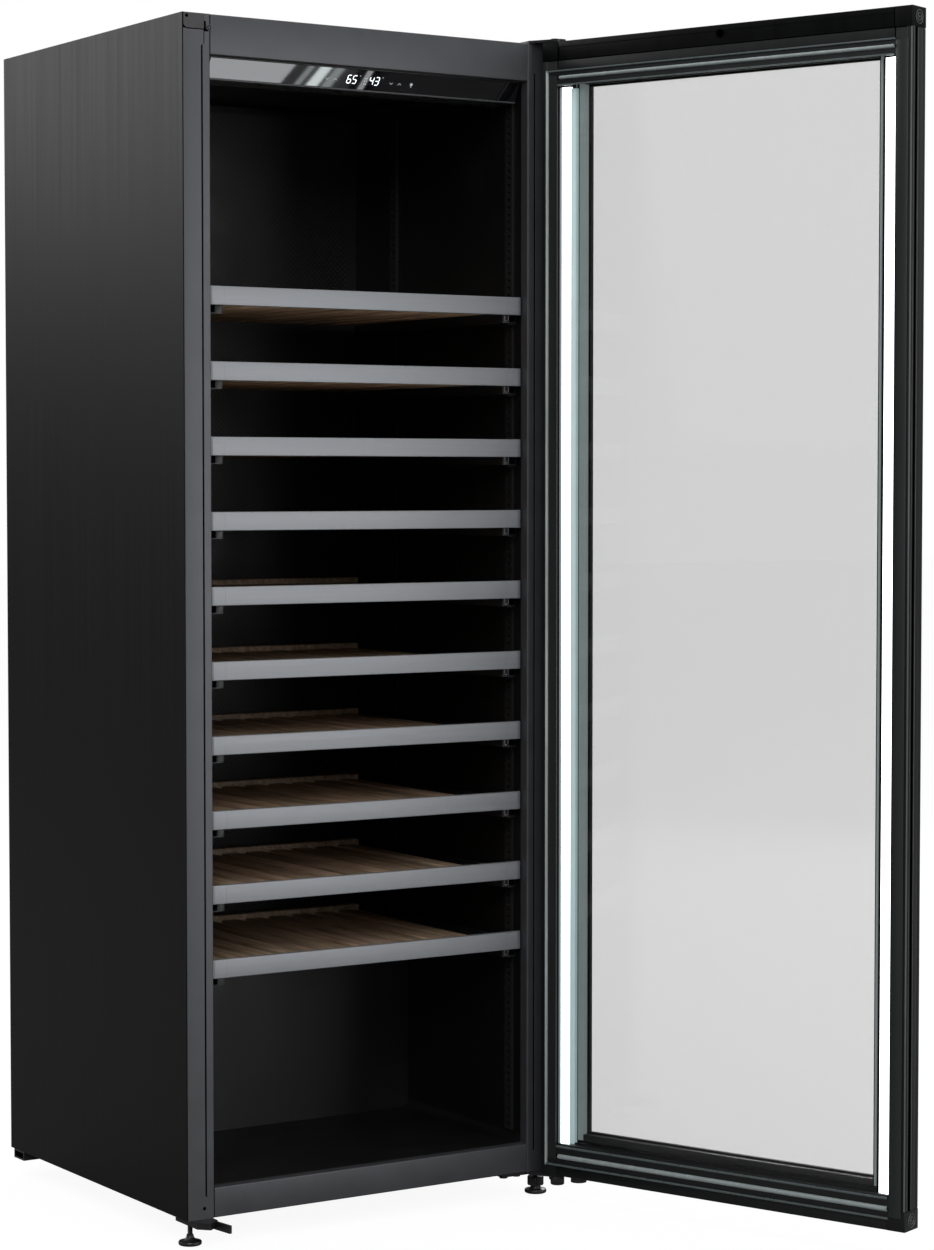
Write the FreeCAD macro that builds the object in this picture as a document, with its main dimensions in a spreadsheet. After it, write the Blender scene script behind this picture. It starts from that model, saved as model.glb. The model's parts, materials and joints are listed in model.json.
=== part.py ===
import FreeCAD, Part
import math
import os
import re
import Sketcher

# Tall free-standing wine cooler with a glazed door and ten pull-out shelves.
# Frame: +Z up, the front faces -Y, origin on the floor under the middle of the cabinet.
# The door stands open at its rest angle.  Its pieces are drawn shut, about the hinge axis.

SIZES = [
    # cabinet
    ("half_width", 327.5), ("half_depth", 309), ("body_low", 40), ("body_top", 1822),
    ("sheet", 1), ("seam", 0.2), ("face_sheet", 2), ("face_depth", 18),
    ("mouth_half", 281.5), ("mouth_low", 85), ("mouth_top", 1763.5),
    ("groove_near", 293.5), ("groove_far", 296.5), ("groove_deep", 1),
    ("groove_low", 73), ("groove_top", 1777),
    ("cover_wide", 36), ("cover_high", 23), ("cover_round", 8), ("roof_fold", 12),
    ("fold_gap", 0.1), ("over", 1),
    # cavity
    ("cavity_half", 284), ("cavity_low", 84), ("cavity_top", 1765.5), ("cavity_back", 257.5),
    ("step_front", 51), ("step_top", 345), ("skin", 2.5), ("cavity_round", 16),
    ("bay_front", 98), ("bay_top", 300),
    ("liner_ahead", 10), ("foam_gap", 0.5), ("duct_front", 215), ("duct_sheet", 2), ("duct_clear", 0.5),
    # shelf standards and fixed rails
    ("standard_wide", 20), ("standard_thick", 4), ("standard_front", 52), ("standard_rear", 400),
    ("standard_low", 100), ("standard_rear_low", 362), ("standard_top", 1740),
    ("rail_in", 265), ("rail_out", 280), ("rail_sheet", 1.5), ("rail_half", 15),
    ("rail_start", 30), ("rail_end", 470),
    # shelves
    ("shelf_first", 1398.6), ("shelf_pitch", 111.4), ("shelf_front", 13),
    ("front_high", 28), ("front_thick", 10), ("front_half", 252), ("end_half", 280),
    ("runner_in", 250), ("runner_web", 262.5), ("runner_out", 274), ("runner_half", 12.5),
    ("runner_end", 478), ("flange", 1.5),
    ("slat_wide", 30), ("slat_pitch", 44.5), ("slat_thick", 12), ("slat_lift", 2),
    ("cross_high", 20), ("cross_front", 12), ("cross_rear", 15),
    # control unit
    ("control_half", 274), ("control_top_y", 11), ("control_top_z", 1760.5),
    ("control_low_y", 25), ("control_low_z", 1732.5), ("control_dy", 2.7), ("control_dz", 1.35),
    ("control_back", 88), ("control_roof", 1763), ("control_floor", 1731), ("control_lip", 1.8),
    # door
    ("pivot_x", 316.25), ("pivot_front", 24.5), ("door_half", 326.25), ("door_low", 40.5),
    ("door_top", 1821), ("door_inner", 19.5), ("door_thick", 41), ("door_rest", 110),
    ("frame_block", 53.75), ("frame_lip", 69.25), ("lip_thick", 5.8), ("light_channel", 13.9),
    ("channel_out", 299), ("grip_from", 9), ("grip_to", 15), ("grip_deep", 11),
    ("pane_edge", 54.25), ("outer_pane", 5), ("inner_pane", 4), ("pane_gap", 12),
    ("spacer_edge", 58), ("spacer_wide", 9),
    ("light_near", 278), ("light_far", 297), ("light_near_deep", 8.8), ("light_far_deep", 4.9),
    ("light_low", 80), ("light_top", 1750),
    ("gasket_out", 317), ("gasket_wide", 11), ("gasket_low", 57), ("gasket_top", 1776),
    ("gasket_proud", 4.5),
    ("cap_size", 29.5), ("boss_radius", 6), ("boss_proud", 1), ("catch_radius", 5), ("catch_deep", 6),
    ("catch_low", 13),
    # hinges
    ("plate_thick", 4), ("plate_round", 11.25), ("plate_left", 283), ("plate_reach", 70),
    ("plate_nose", 11), ("knob_radius", 11), ("knob_high", 13),
    ("lower_plate_left", 235), ("lower_plate_reach", 54),
    ("pin_radius", 4), ("pin_fit", 0.05), ("pin_in_door", 18), ("bush_radius", 7),
    ("bush_high", 20), ("nut_radius", 8), ("nut_high", 7), ("head_radius", 7), ("head_high", 3),
    ("stop_back", 51.25), ("stop_side", 3.5), ("stop_radius", 12.5), ("stop_high", 8),
    # left-hand bracket
    ("arm_thick", 4), ("arm_high", 12), ("arm_reach", 53), ("arm_root", 13), ("arm_bend", 9),
    ("arm_tip", 2), ("arm_start", 20), ("arm_lift", 3),
    ("corner_thick", 10), ("corner_in", 9), ("corner_front", 15), ("corner_nose", 30),
    ("corner_slant", 15), ("corner_past", 1),
    # feet and rear supports
    ("foot_x", 312), ("foot_back", 20), ("foot_radius", 17.5), ("foot_disc", 6),
    ("flare_low", 13.5), ("flare_top", 5), ("foot_flare", 15), ("short_flare", 12),
    ("stem_radius", 4), ("stem_top", 39.6), ("collar_radius", 13), ("collar_low", 12),
    ("collar_top", 27), ("stem_clear", 4.4),
    ("support_near", 260), ("support_far", 297), ("support_low", 25.5),
    ("pad_x", 225), ("pad_radius", 18),
    # machine bay
    ("compressor_x", -190), ("compressor_y", 200), ("compressor_low", 50),
    ("shell_radius", 80), ("shell_high", 140), ("shell_dome", 35), ("shell_top_radius", 45),
    ("condenser_near", 70), ("condenser_far", 240), ("coil_front", 125), ("coil_back", 275),
    ("coil_low", 64), ("coil_high", 244), ("tube_radius", 4), ("tube_out", 12),
    ("tray_wall", 2), ("tray_low", 41.5), ("tray_high", 58),
    ("inlet_x", -255), ("inlet_z", 130), ("inlet_half", 24), ("inlet_tall", 14),
    ("inlet_deep", 16), ("inlet_proud", 2), ("inlet_clear", 0.3), ("inlet_wall", 3),
    ("well_half", 12), ("well_tall", 8), ("prong_half", 1), ("prong_side", 7), ("prong_high", 4),
    ("louvre_near", 30), ("louvre_far", 150), ("louvre_first", 34), ("louvre_high", 6),
    ("louvre_pitch", 16), ("belt_proud", 3), ("belt_high", 4), ("saddle_x", 95), ("saddle_y", 70),
    ("saddle_thick", 3), ("grommet_x", 84), ("grommet_y", 58), ("grommet_radius", 9),
    ("stub_x", 40), ("stub_high", 60), ("tray_margin", 8),
    # fans
    ("fan_half", 60), ("fan_wall", 4), ("fan_deep", 25), ("blade_reach", 52),
    ("hub_radius", 20), ("hub_deep", 16), ("hub_gap", 2), ("blade_thick", 2),
    ("strut_thick", 3), ("strut_wide", 10),
    ("air_fan_y", 226), ("air_fan_z", 1450), ("bay_fan_x", -60), ("bay_fan_y", 200),
    ("bay_fan_z", 130),
    # evaporator
    ("evaporator_half", 200), ("evaporator_near", 226), ("evaporator_far", 250),
    ("evaporator_low", 500), ("evaporator_top", 1300),
    # screws
    ("screw_radius", 4.5), ("screw_high", 2), ("bolt_radius", 6.5), ("bolt_high", 4),
    ("face_head", 1.2), ("recess_radius", 5), ("recess_deep", 1.5),
    ("low_screw_in", 16.5), ("low_screw_up", 16), ("cover_screw_out", 1.5), ("cover_screw_down", 20),
    ("plate_bolt_in", 9), ("plate_bolt_far", 60), ("plate_bolt_mid", 22), ("plate_bolt_near", 25),
    ("bracket_bolt_in", 12), ("bracket_bolt_pitch", 12), ("bracket_bolt_near", 15),
    ("bracket_bolt_far", 40),
    ("rear_screw_in", 16), ("rear_screw_up", 12), ("rear_screw_down", 10),
]
SHELF_COUNT = 10
SLAT_COUNT = 11
LOUVRE_COUNT = 9
BLADE_COUNT = 7
BLADE_PITCH = 35
REAR_COLUMNS = 5
DOOR_NODES = []
NODES = []

doc = FreeCAD.newDocument("wine_cooler")
dims = doc.addObject("Spreadsheet::Sheet", "dims")
for row, (alias, number) in enumerate(SIZES, 1):
    dims.set("A%d" % row, alias)
    dims.set("B%d" % row, str(number))
    dims.setAlias("B%d" % row, alias)
doc.recompute()
ALIASES = {alias for alias, number in SIZES}


def bound(text):
    """Name the sheet before each of its values in a formula."""
    return re.sub("[a-z_]+", lambda m: "dims." + m[0] if m[0] in ALIASES else m[0], text)


def bind(obj, prop, text):
    obj.setExpression(prop, bound(text))


def box(name, x, y, z):
    """A block between the (low, high) formulas given for each axis."""
    block = doc.addObject("Part::Box", name)
    for prop, axis, (low, high) in zip(("Length", "Width", "Height"), "xyz", (x, y, z)):
        bind(block, prop, "(%s) - (%s)" % (high, low))
        bind(block, "Placement.Base." + axis, low)
    return block


def pair(name, near, far, y, z):
    """The same block on the left and on the right of the middle."""
    left = box(name + "_left", ("-(%s)" % far, "-(%s)" % near), y, z)
    right = box(name + "_right", (near, far), y, z)
    return [left, right]


def rod(name, base, radius, length, along=(0, 0, 1)):
    """A cylinder from its base centre along an axis."""
    bar = doc.addObject("Part::Cylinder", name)
    turn = FreeCAD.Rotation(FreeCAD.Vector(0, 0, 1), FreeCAD.Vector(*along))
    bar.Placement = FreeCAD.Placement(FreeCAD.Vector(), turn)
    for axis, text in zip("xyz", base):
        bind(bar, "Placement.Base." + axis, text)
    bind(bar, "Radius", radius)
    bind(bar, "Height", length)
    return bar


def cone(name, base, low_radius, top_radius, length):
    taper = doc.addObject("Part::Cone", name)
    for axis, text in zip("xyz", base):
        bind(taper, "Placement.Base." + axis, text)
    bind(taper, "Radius1", low_radius)
    bind(taper, "Radius2", top_radius)
    bind(taper, "Height", length)
    return taper


def outline(body, name, role, points):
    """A closed sketch on one of the body's own planes, each corner bound to formulas."""
    sketch = body.newObject("Sketcher::SketchObject", name)
    plane = [f for f in body.Origin.OriginFeatures if f.Role == role][0]
    sketch.AttachmentSupport = [(plane, "")]
    sketch.MapMode = "FlatFace"
    count = len(points)
    turn = 2 * math.pi / count
    rough = [FreeCAD.Vector(100 * math.cos(i * turn), 100 * math.sin(i * turn), 0) for i in range(count)]
    for i in range(count):
        sketch.addGeometry(Part.LineSegment(rough[i], rough[(i + 1) % count]), False)
    for i in range(count):
        sketch.addConstraint(Sketcher.Constraint("Coincident", i, 2, (i + 1) % count, 1))
    for i, (across, up) in enumerate(points):
        for kind, start, text in (("DistanceX", rough[i].x, across), ("DistanceY", rough[i].y, up)):
            number = sketch.addConstraint(Sketcher.Constraint(kind, -1, 1, i, 1, start))
            sketch.setExpression("Constraints[%d]" % number, bound(text))
    return sketch


def prism(name, role, points, low, high):
    """A body padded between two stations along the normal of its plane."""
    body = doc.addObject("PartDesign::Body", name)
    sketch = outline(body, name + "_outline", role, points)
    start = "-(%s)" % high if role == "XZ_Plane" else low
    bind(sketch, "AttachmentOffset.Base.z", start)
    pad = body.newObject("PartDesign::Pad", name + "_pad")
    pad.Profile = sketch
    bind(pad, "Length", "(%s) - (%s)" % (high, low))
    sketch.Visibility = False
    return body


def rounded(body, radius, wanted):
    """Round those edges of a body that pass the test."""
    doc.recompute()
    pad = body.Tip
    names = ["Edge%d" % i for i, edge in enumerate(pad.Shape.Edges, 1) if wanted(edge)]
    fillet = body.newObject("PartDesign::Fillet", body.Name + "_round")
    fillet.Base = (pad, names)
    bind(fillet, "Radius", radius)
    body.Tip = fillet
    return body


def group(name, parts):
    holder = doc.addObject("Part::Compound", name)
    holder.Links = parts
    return holder


def fuse(name, parts):
    joined = doc.addObject("Part::MultiFuse", name)
    joined.Shapes = parts
    return joined


def cut(name, base, tools):
    remainder = doc.addObject("Part::Cut", name)
    remainder.Base = base
    remainder.Tool = tools[0] if len(tools) == 1 else fuse(name + "_tools", tools)
    return remainder


def common(name, base, tool):
    kept = doc.addObject("Part::Common", name)
    kept.Base = base
    kept.Tool = tool
    return kept


def node(label, obj):
    obj.Label = label
    NODES.append(obj)
    return obj


def door_node(label, obj):
    """A piece drawn about the hinge axis, turned to the door's rest angle."""
    turn = FreeCAD.Rotation(FreeCAD.Vector(0, 0, 1), dims.door_rest)
    obj.Placement = FreeCAD.Placement(FreeCAD.Vector(), turn)
    bind(obj, "Placement.Base.x", "pivot_x")
    bind(obj, "Placement.Base.y", "-half_depth - pivot_front")
    return node(label, obj)


def runs_along(axis):
    """A test for straight edges parallel to an axis."""
    def test(edge):
        return abs(abs(edge.tangentAt(edge.FirstParameter).dot(FreeCAD.Vector(*axis))) - 1) < 1e-6
    return test


INNER = "half_width - sheet - fold_gap"
FRONT = "-half_depth"
BACK = "half_depth"
FACE_BACK = "-half_depth + face_depth"

# ---------------------------------------------------------------- cabinet shell
side = pair("side_panel", "half_width - sheet", "half_width", (FRONT, BACK), ("body_low", "body_top"))
node("side_panel_left", side[0])
node("side_panel_right", side[1])

roof = box("roof", ("-(%s)" % INNER, INNER), (FACE_BACK + " + seam", BACK + " - sheet"),
           ("body_top - sheet", "body_top"))
roof_fold = box("roof_fold", ("-(%s)" % INNER, INNER), (BACK + " - 2 * sheet", BACK + " - sheet"),
                ("body_top - roof_fold", "body_top - sheet"))
node("top_panel", group("top_panel", [roof, roof_fold]))
node("back_panel", box("back_panel", ("-(%s)" % INNER, INNER), (BACK + " - sheet", BACK),
                       ("bay_top + seam", "body_top")))


def channel(near, far):
    """Folded face section: a front sheet with a return at each edge."""
    return [(near, FRONT), (far, FRONT), (far, FACE_BACK), (far + " - face_sheet", FACE_BACK),
            (far + " - face_sheet", FRONT + " + face_sheet"),
            (near + " + face_sheet", FRONT + " + face_sheet"),
            (near + " + face_sheet", FACE_BACK), (near, FACE_BACK)]


def mirrored(points):
    return [("-(%s)" % across, up) for across, up in points]


def groove(name, sign):
    near, far = ("groove_near", "groove_far") if sign > 0 else ("-groove_far", "-groove_near")
    return box(name, (near, far), (FRONT + " - over", FRONT + " + groove_deep"), ("groove_low", "groove_top"))


post = channel("mouth_half", INNER)
left_post = prism("left_post", "XY_Plane", mirrored(post), "body_low", "body_top")
right_post = prism("right_post", "XY_Plane", post, "body_low", "body_top")
cover_space = box("cover_space", ("-half_width", "-half_width + cover_wide + seam"),
                  (FRONT + " - over", FACE_BACK + " + over"),
                  ("body_top - cover_high - seam", "body_top + over"))
LOW_SCREW = ("-mouth_half - low_screw_in", "body_low + low_screw_up")
recess = rod("low_screw_recess", (LOW_SCREW[0], FRONT + " - over", LOW_SCREW[1]), "recess_radius",
             "recess_deep + over", (0, 1, 0))
left_stile = cut("left_stile", left_post, [groove("left_groove", -1), cover_space, recess])
right_stile = cut("right_stile", right_post, [groove("right_groove", 1)])
node("stiles", group("stiles", [left_stile, right_stile]))

flipped = [(up, across) for across, up in channel("mouth_top", "body_top")]
BETWEEN = ("-mouth_half + seam", "mouth_half - seam")
node("header", prism("header", "YZ_Plane", flipped, *BETWEEN))
flipped = [(up, across) for across, up in channel("body_low", "mouth_low")]
node("sill", prism("sill", "YZ_Plane", flipped, *BETWEEN))

cover = [("-(%s)" % INNER, "body_top"), ("-half_width + cover_wide", "body_top"),
         ("-half_width + cover_wide", "body_top - cover_high"), ("-(%s)" % INNER, "body_top - cover_high")]
cover = prism("cover_blank", "XZ_Plane", cover, FRONT, FACE_BACK)
cover = rounded(cover, "cover_round", lambda e: runs_along((0, 1, 0))(e)
                and e.BoundBox.XMax < dims.cover_round - dims.half_width
                and e.BoundBox.ZMax < dims.body_top - dims.cover_round)
node("hinge_cover_plate", cover)

# ---------------------------------------------------------------- base and machine bay
WIDE = ("-(%s)" % INNER, INNER)
floor_sheet = box("floor_sheet", WIDE, (FACE_BACK + " + seam", BACK + " - 2 * sheet"),
                  ("body_low", "body_low + sheet"))
bulkhead = box("bulkhead", WIDE, ("bay_front", "bay_front + sheet"), ("body_low + sheet", "bay_top"))
bay_roof = box("bay_roof", WIDE, ("bay_front + sheet", BACK + " - 2 * sheet"), ("bay_top - sheet", "bay_top"))
node("base_pan", group("base_pan", [floor_sheet, bulkhead, bay_roof]))

bay_cover = box("bay_cover", WIDE, (BACK + " - sheet", BACK), ("body_low", "bay_top"))
louvres = []
for i in range(LOUVRE_COUNT):
    level = "bay_top - louvre_first - %d * louvre_pitch" % i
    louvres += pair("louvre_%d" % i, "louvre_near", "louvre_far",
                    (BACK + " - sheet - over", BACK + " + over"), (level + " - louvre_high", level))
louvres.append(box("inlet_hole", ("inlet_x - inlet_half", "inlet_x + inlet_half"),
                   (BACK + " - sheet - over", BACK + " + over"),
                   ("inlet_z - inlet_tall", "inlet_z + inlet_tall")))
node("machine_bay_cover", cut("machine_bay_cover", bay_cover, louvres))

inlet_body = box("inlet_body", ("inlet_x - inlet_half + inlet_clear", "inlet_x + inlet_half - inlet_clear"),
                 (BACK + " - inlet_deep", BACK + " + inlet_proud"),
                 ("inlet_z - inlet_tall + inlet_clear", "inlet_z + inlet_tall - inlet_clear"))
inlet_well = box("inlet_well", ("inlet_x - well_half", "inlet_x + well_half"),
                 (BACK + " - inlet_deep + inlet_wall", BACK + " + inlet_proud + over"),
                 ("inlet_z - well_tall", "inlet_z + well_tall"))
prongs = []
for i, (across, low) in enumerate((("inlet_x - prong_side", "inlet_z - prong_high"), ("inlet_x", "inlet_z"),
                                   ("inlet_x + prong_side", "inlet_z - prong_high"))):
    prongs.append(box("prong_%d" % i, (across + " - prong_half", across + " + prong_half"),
                      (BACK + " - inlet_deep + inlet_wall - over", BACK + " - inlet_wall"),
                      (low, low + " + prong_high")))
node("power_inlet", fuse("power_inlet", [cut("inlet_shell", inlet_body, [inlet_well])] + prongs))

AT_SHELL = ("compressor_x", "compressor_y")
shell = rod("shell", AT_SHELL + ("compressor_low",), "shell_radius", "shell_high")
dome = cone("dome", AT_SHELL + ("compressor_low + shell_high",), "shell_radius", "shell_top_radius",
            "shell_dome")
belt = rod("belt", AT_SHELL + ("compressor_low + shell_high / 2",), "shell_radius + belt_proud", "belt_high")
saddle = box("saddle", ("compressor_x - saddle_x", "compressor_x + saddle_x"),
             ("compressor_y - saddle_y", "compressor_y + saddle_y"),
             ("compressor_low + over - saddle_thick", "compressor_low + over"))
grommets = []
for i, (across, deep) in enumerate(((-1, -1), (1, -1), (-1, 1), (1, 1))):
    spot = ("compressor_x + %d * grommet_x" % across, "compressor_y + %d * grommet_y" % deep,
            "body_low + sheet")
    grommets.append(rod("grommet_%d" % i, spot, "grommet_radius", "compressor_low - body_low - sheet"))
stub = rod("stub", ("compressor_x + stub_x", "compressor_y", "compressor_low + shell_high"), "tube_radius",
           "stub_high")
node("compressor", fuse("compressor", [shell, dome, belt, saddle, stub] + grommets))


def coil(name, x, y, z, rows):
    """A fin block crossed by tubes that stand out at both ends."""
    pieces = [box(name + "_fins", x, y, z)]
    for i in range(rows):
        share = "(%s) + ((%s) - (%s)) * %.3f" % (z[0], z[1], z[0], (i + 0.5) / rows)
        middle = "((%s) + (%s)) / 2" % y
        pieces.append(rod("%s_tube_%d" % (name, i), ("(%s) - tube_out" % x[0], middle, share),
                          "tube_radius", "(%s) - (%s) + 2 * tube_out" % (x[1], x[0]), (1, 0, 0)))
    return fuse(name, pieces)


node("condenser", coil("condenser", ("condenser_near", "condenser_far"), ("coil_front", "coil_back"),
                       ("coil_low", "coil_high"), 5))
node("evaporator", coil("evaporator", ("-evaporator_half", "evaporator_half"),
                        ("evaporator_near", "evaporator_far"), ("evaporator_low", "evaporator_top"), 8))
tray = box("tray", ("condenser_near - tray_margin", "condenser_far + tray_margin"),
           ("coil_front - tray_margin", "coil_back + tray_margin"), ("tray_low", "tray_high"))
tray_space = box("tray_space",
                 ("condenser_near - tray_margin + tray_wall", "condenser_far + tray_margin - tray_wall"),
                 ("coil_front - tray_margin + tray_wall", "coil_back + tray_margin - tray_wall"),
                 ("tray_low + tray_wall", "tray_high + over"))
node("drip_tray", cut("drip_tray", tray, [tray_space]))

# ---------------------------------------------------------------- cavity
INSIDE = [("%s", "cavity_low - (%s)"), ("step_front + (%s)", "cavity_low - (%s)"),
          ("step_front + (%s)", "step_top - (%s)"), ("cavity_back + (%s)", "step_top - (%s)"),
          ("cavity_back + (%s)", "cavity_top + (%s)"), ("%s", "cavity_top + (%s)")]


def cavity(name, front, wall):
    points = []
    for i, (deep, up) in enumerate(INSIDE):
        points.append((deep % (front if deep == "%s" else wall), up % wall))
    wide = "cavity_half + " + wall
    body = prism(name, "YZ_Plane", points, "-(%s)" % wide, wide)
    return rounded(body, "cavity_round + " + wall, runs_along((0, 1, 0)))


liner_outer = cavity("liner_outer", FACE_BACK + " + seam", "skin")
liner_inner = cavity("liner_inner", FACE_BACK + " - liner_ahead", "0")
node("liner", cut("liner", liner_outer, [liner_inner]))

WALL = "cavity_half + skin"
FOAM_SIDE = "half_width - sheet"
FOAM_FRONT = FACE_BACK + " + foam_gap"
ROOF = "body_top - sheet"
foam = pair("foam_side", WALL, FOAM_SIDE, (FOAM_FRONT, "cavity_back + skin"), ("bay_top", ROOF))
foam += pair("foam_side_low", WALL, FOAM_SIDE, (FOAM_FRONT, "bay_front"), ("body_low + sheet", "bay_top"))
ACROSS = ("-(%s)" % WALL, WALL)
foam.append(box("foam_top", ACROSS, (FOAM_FRONT, "cavity_back + skin"), ("cavity_top + skin", ROOF)))
foam.append(box("foam_back", ("-(%s)" % FOAM_SIDE, FOAM_SIDE), ("cavity_back + skin", BACK + " - 2 * sheet"),
                ("bay_top", "body_top - roof_fold")))
foam.append(box("foam_step", ACROSS, ("step_front + skin", "bay_front"), ("cavity_low - skin", "bay_top")))
foam.append(box("foam_step_roof", ACROSS, ("step_front + skin", "cavity_back + skin"),
                ("bay_top", "step_top - skin")))
foam.append(box("foam_floor", ACROSS, (FOAM_FRONT, "bay_front"), ("body_low + sheet", "cavity_low - skin")))
node("foam_insulation", group("foam_insulation", foam))

DUCT = "cavity_half - duct_clear"
duct = box("duct", ("-(%s)" % DUCT, DUCT), ("duct_front", "duct_front + duct_sheet"),
           ("step_top + cavity_round", "cavity_top - cavity_round"))
node("air_duct_panel", duct)

strips = []
for name, back, low in (("front", "standard_front", "standard_low"),
                        ("rear", "standard_rear", "standard_rear_low")):
    deep = ("%s + %s - standard_wide / 2" % (FRONT, back), "%s + %s + standard_wide / 2" % (FRONT, back))
    strips += pair("standard_" + name, "cavity_half - standard_thick", "cavity_half", deep,
                   (low, "standard_top"))
node("shelf_standards", group("shelf_standards", strips))

# ---------------------------------------------------------------- shelves
rails = []
RAIL_RUN = (FRONT + " + rail_start", FRONT + " + rail_end")
for k in range(SHELF_COUNT):
    level = "shelf_first - %d * shelf_pitch" % k
    web = (level + " - rail_half", level + " + rail_half")
    lower = (level + " - rail_half", level + " - rail_half + rail_sheet")
    upper = (level + " + rail_half - rail_sheet", level + " + rail_half")
    rails += pair("rail_web_%d" % k, "rail_out - rail_sheet", "rail_out", RAIL_RUN, web)
    rails += pair("rail_low_%d" % k, "rail_in", "rail_out - rail_sheet", RAIL_RUN, lower)
    rails += pair("rail_top_%d" % k, "rail_in", "rail_out - rail_sheet", RAIL_RUN, upper)
node("shelf_rails", group("shelf_rails", rails))

SHELF_Y = FRONT + " + shelf_front"
SHELF_BACK = FRONT + " + runner_end"
CROSS_Y = SHELF_Y + " + front_thick"
for k in range(SHELF_COUNT):
    tag = "shelf_%02d" % (k + 1)
    level = "shelf_first - %d * shelf_pitch" % k
    front_y = (SHELF_Y, CROSS_Y)
    front_z = (level, level + " + front_high")
    nose = box(tag + "_nose", ("-front_half", "front_half"), front_y, front_z)
    pieces = [nose] + pair(tag + "_end", "front_half", "end_half", front_y, front_z)
    for sign, side_name in ((-1, "left"), (1, "right")):
        c_section = [("runner_in", level + " - runner_half"), ("runner_out", level + " - runner_half"),
                     ("runner_out", level + " - runner_half + flange"),
                     ("runner_web", level + " - runner_half + flange"),
                     ("runner_web", level + " + runner_half - flange"),
                     ("runner_out", level + " + runner_half - flange"),
                     ("runner_out", level + " + runner_half"), ("runner_in", level + " + runner_half")]
        section = c_section if sign > 0 else mirrored(c_section)
        pieces.append(prism("%s_runner_%s" % (tag, side_name), "XZ_Plane", section, CROSS_Y, SHELF_BACK))
    node(tag + "_frame", group(tag + "_frame", pieces))

    deck = level + " + slat_lift"
    deck_z = (deck, deck + " + slat_thick")
    cross_z = (deck, deck + " + cross_high")
    inside = ("-runner_in", "runner_in")
    slats = [box(tag + "_cross_front", inside, (CROSS_Y, CROSS_Y + " + cross_front"), cross_z),
             box(tag + "_cross_rear", inside, (SHELF_BACK + " - cross_rear", SHELF_BACK), cross_z)]
    run = (CROSS_Y + " + cross_front", SHELF_BACK + " - cross_rear")
    for i in range(SLAT_COUNT):
        middle = "%d * slat_pitch" % (i - SLAT_COUNT // 2)
        across = (middle + " - slat_wide / 2", middle + " + slat_wide / 2")
        slats.append(box("%s_slat_%02d" % (tag, i + 1), across, run, deck_z))
    node(tag + "_slats", group(tag + "_slats", slats))

# ---------------------------------------------------------------- control unit
TOP_Y = FRONT + " + control_top_y"
LOW_Y = FRONT + " + control_low_y"
glass = [(TOP_Y, "control_top_z"), (LOW_Y, "control_low_z"),
         (LOW_Y + " + control_dy", "control_low_z + control_dz"),
         (TOP_Y + " + control_dy", "control_top_z + control_dz")]
node("control_glass", prism("control_glass", "YZ_Plane", glass, "-control_half", "control_half"))
housing = [(TOP_Y + " + control_dy", "control_roof"), (TOP_Y + " + control_dy", "control_top_z + control_dz"),
           (LOW_Y + " + control_dy", "control_low_z + control_dz"), (LOW_Y, "control_low_z"),
           (LOW_Y + " - control_lip", "control_floor"), (FRONT + " + control_back", "control_floor"),
           (FRONT + " + control_back", "control_roof")]
node("control_housing", prism("control_housing", "YZ_Plane", housing, "-control_half", "control_half"))

# ---------------------------------------------------------------- hinges
PIVOT_Y = FRONT + " - pivot_front"
NOSE_Y = PIVOT_Y + " - plate_nose"
TANGENT = ("pivot_x + plate_round * cos(207 deg)", NOSE_Y + " + plate_round * sin(207 deg)")
NOSE = [("plate_left", FRONT), TANGENT]
at_pivot = ("pivot_x", PIVOT_Y)
at_nose = ("pivot_x", NOSE_Y)


def hinge_plate(name, corners, low, holes):
    plate = prism(name + "_plate", "XY_Plane", corners, low, low + " + plate_thick")
    tip = rod(name + "_tip", at_nose + (low,), "plate_round", "plate_thick")
    return cut(name, fuse(name + "_blank", [plate, tip]), holes)


upper_corners = NOSE + [("half_width", NOSE_Y), ("half_width", FRONT + " + plate_reach"),
                        ("plate_left", FRONT + " + plate_reach")]
upper_hole = rod("upper_hole", at_pivot + ("body_top - over",), "pin_radius + pin_fit",
                 "plate_thick + 2 * over")
node("hinge_plate_top", hinge_plate("hinge_plate_top", upper_corners, "body_top", [upper_hole]))
lower_corners = NOSE + [("half_width", NOSE_Y), ("half_width", FRONT + " + lower_plate_reach"),
                        ("lower_plate_left", FRONT + " + lower_plate_reach"), ("lower_plate_left", FRONT)]
LOW_PLATE = "body_low - plate_thick"
lower_hole = rod("lower_hole", at_pivot + (LOW_PLATE + " - over",), "pin_radius + pin_fit",
                 "plate_thick + 2 * over")
right_stem_hole = rod("right_stem_hole", ("foot_x", FRONT + " + foot_back", LOW_PLATE + " - over"),
                      "stem_clear", "plate_thick + 2 * over")
node("hinge_plate_bottom", hinge_plate("hinge_plate_bottom", lower_corners, LOW_PLATE,
                                       [lower_hole, right_stem_hole]))

low_pin = rod("low_pin", at_pivot + (LOW_PLATE + " - nut_high",), "pin_radius",
              "nut_high + plate_thick + pin_in_door")
nut = rod("nut", at_pivot + (LOW_PLATE + " - nut_high",), "nut_radius", "nut_high")
top_pin = rod("top_pin", at_pivot + ("door_top - pin_in_door",), "pin_radius",
              "pin_in_door + body_top - door_top + plate_thick")
pin_head = rod("pin_head", at_pivot + ("body_top + plate_thick",), "head_radius", "head_high")
knob = rod("knob", at_nose + (LOW_PLATE + " - knob_high",), "knob_radius", "knob_high")
pins = [fuse("pin_below", [low_pin, nut, knob]), fuse("pin_above", [top_pin, pin_head])]
node("hinge_pins", group("hinge_pins", pins))

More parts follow.
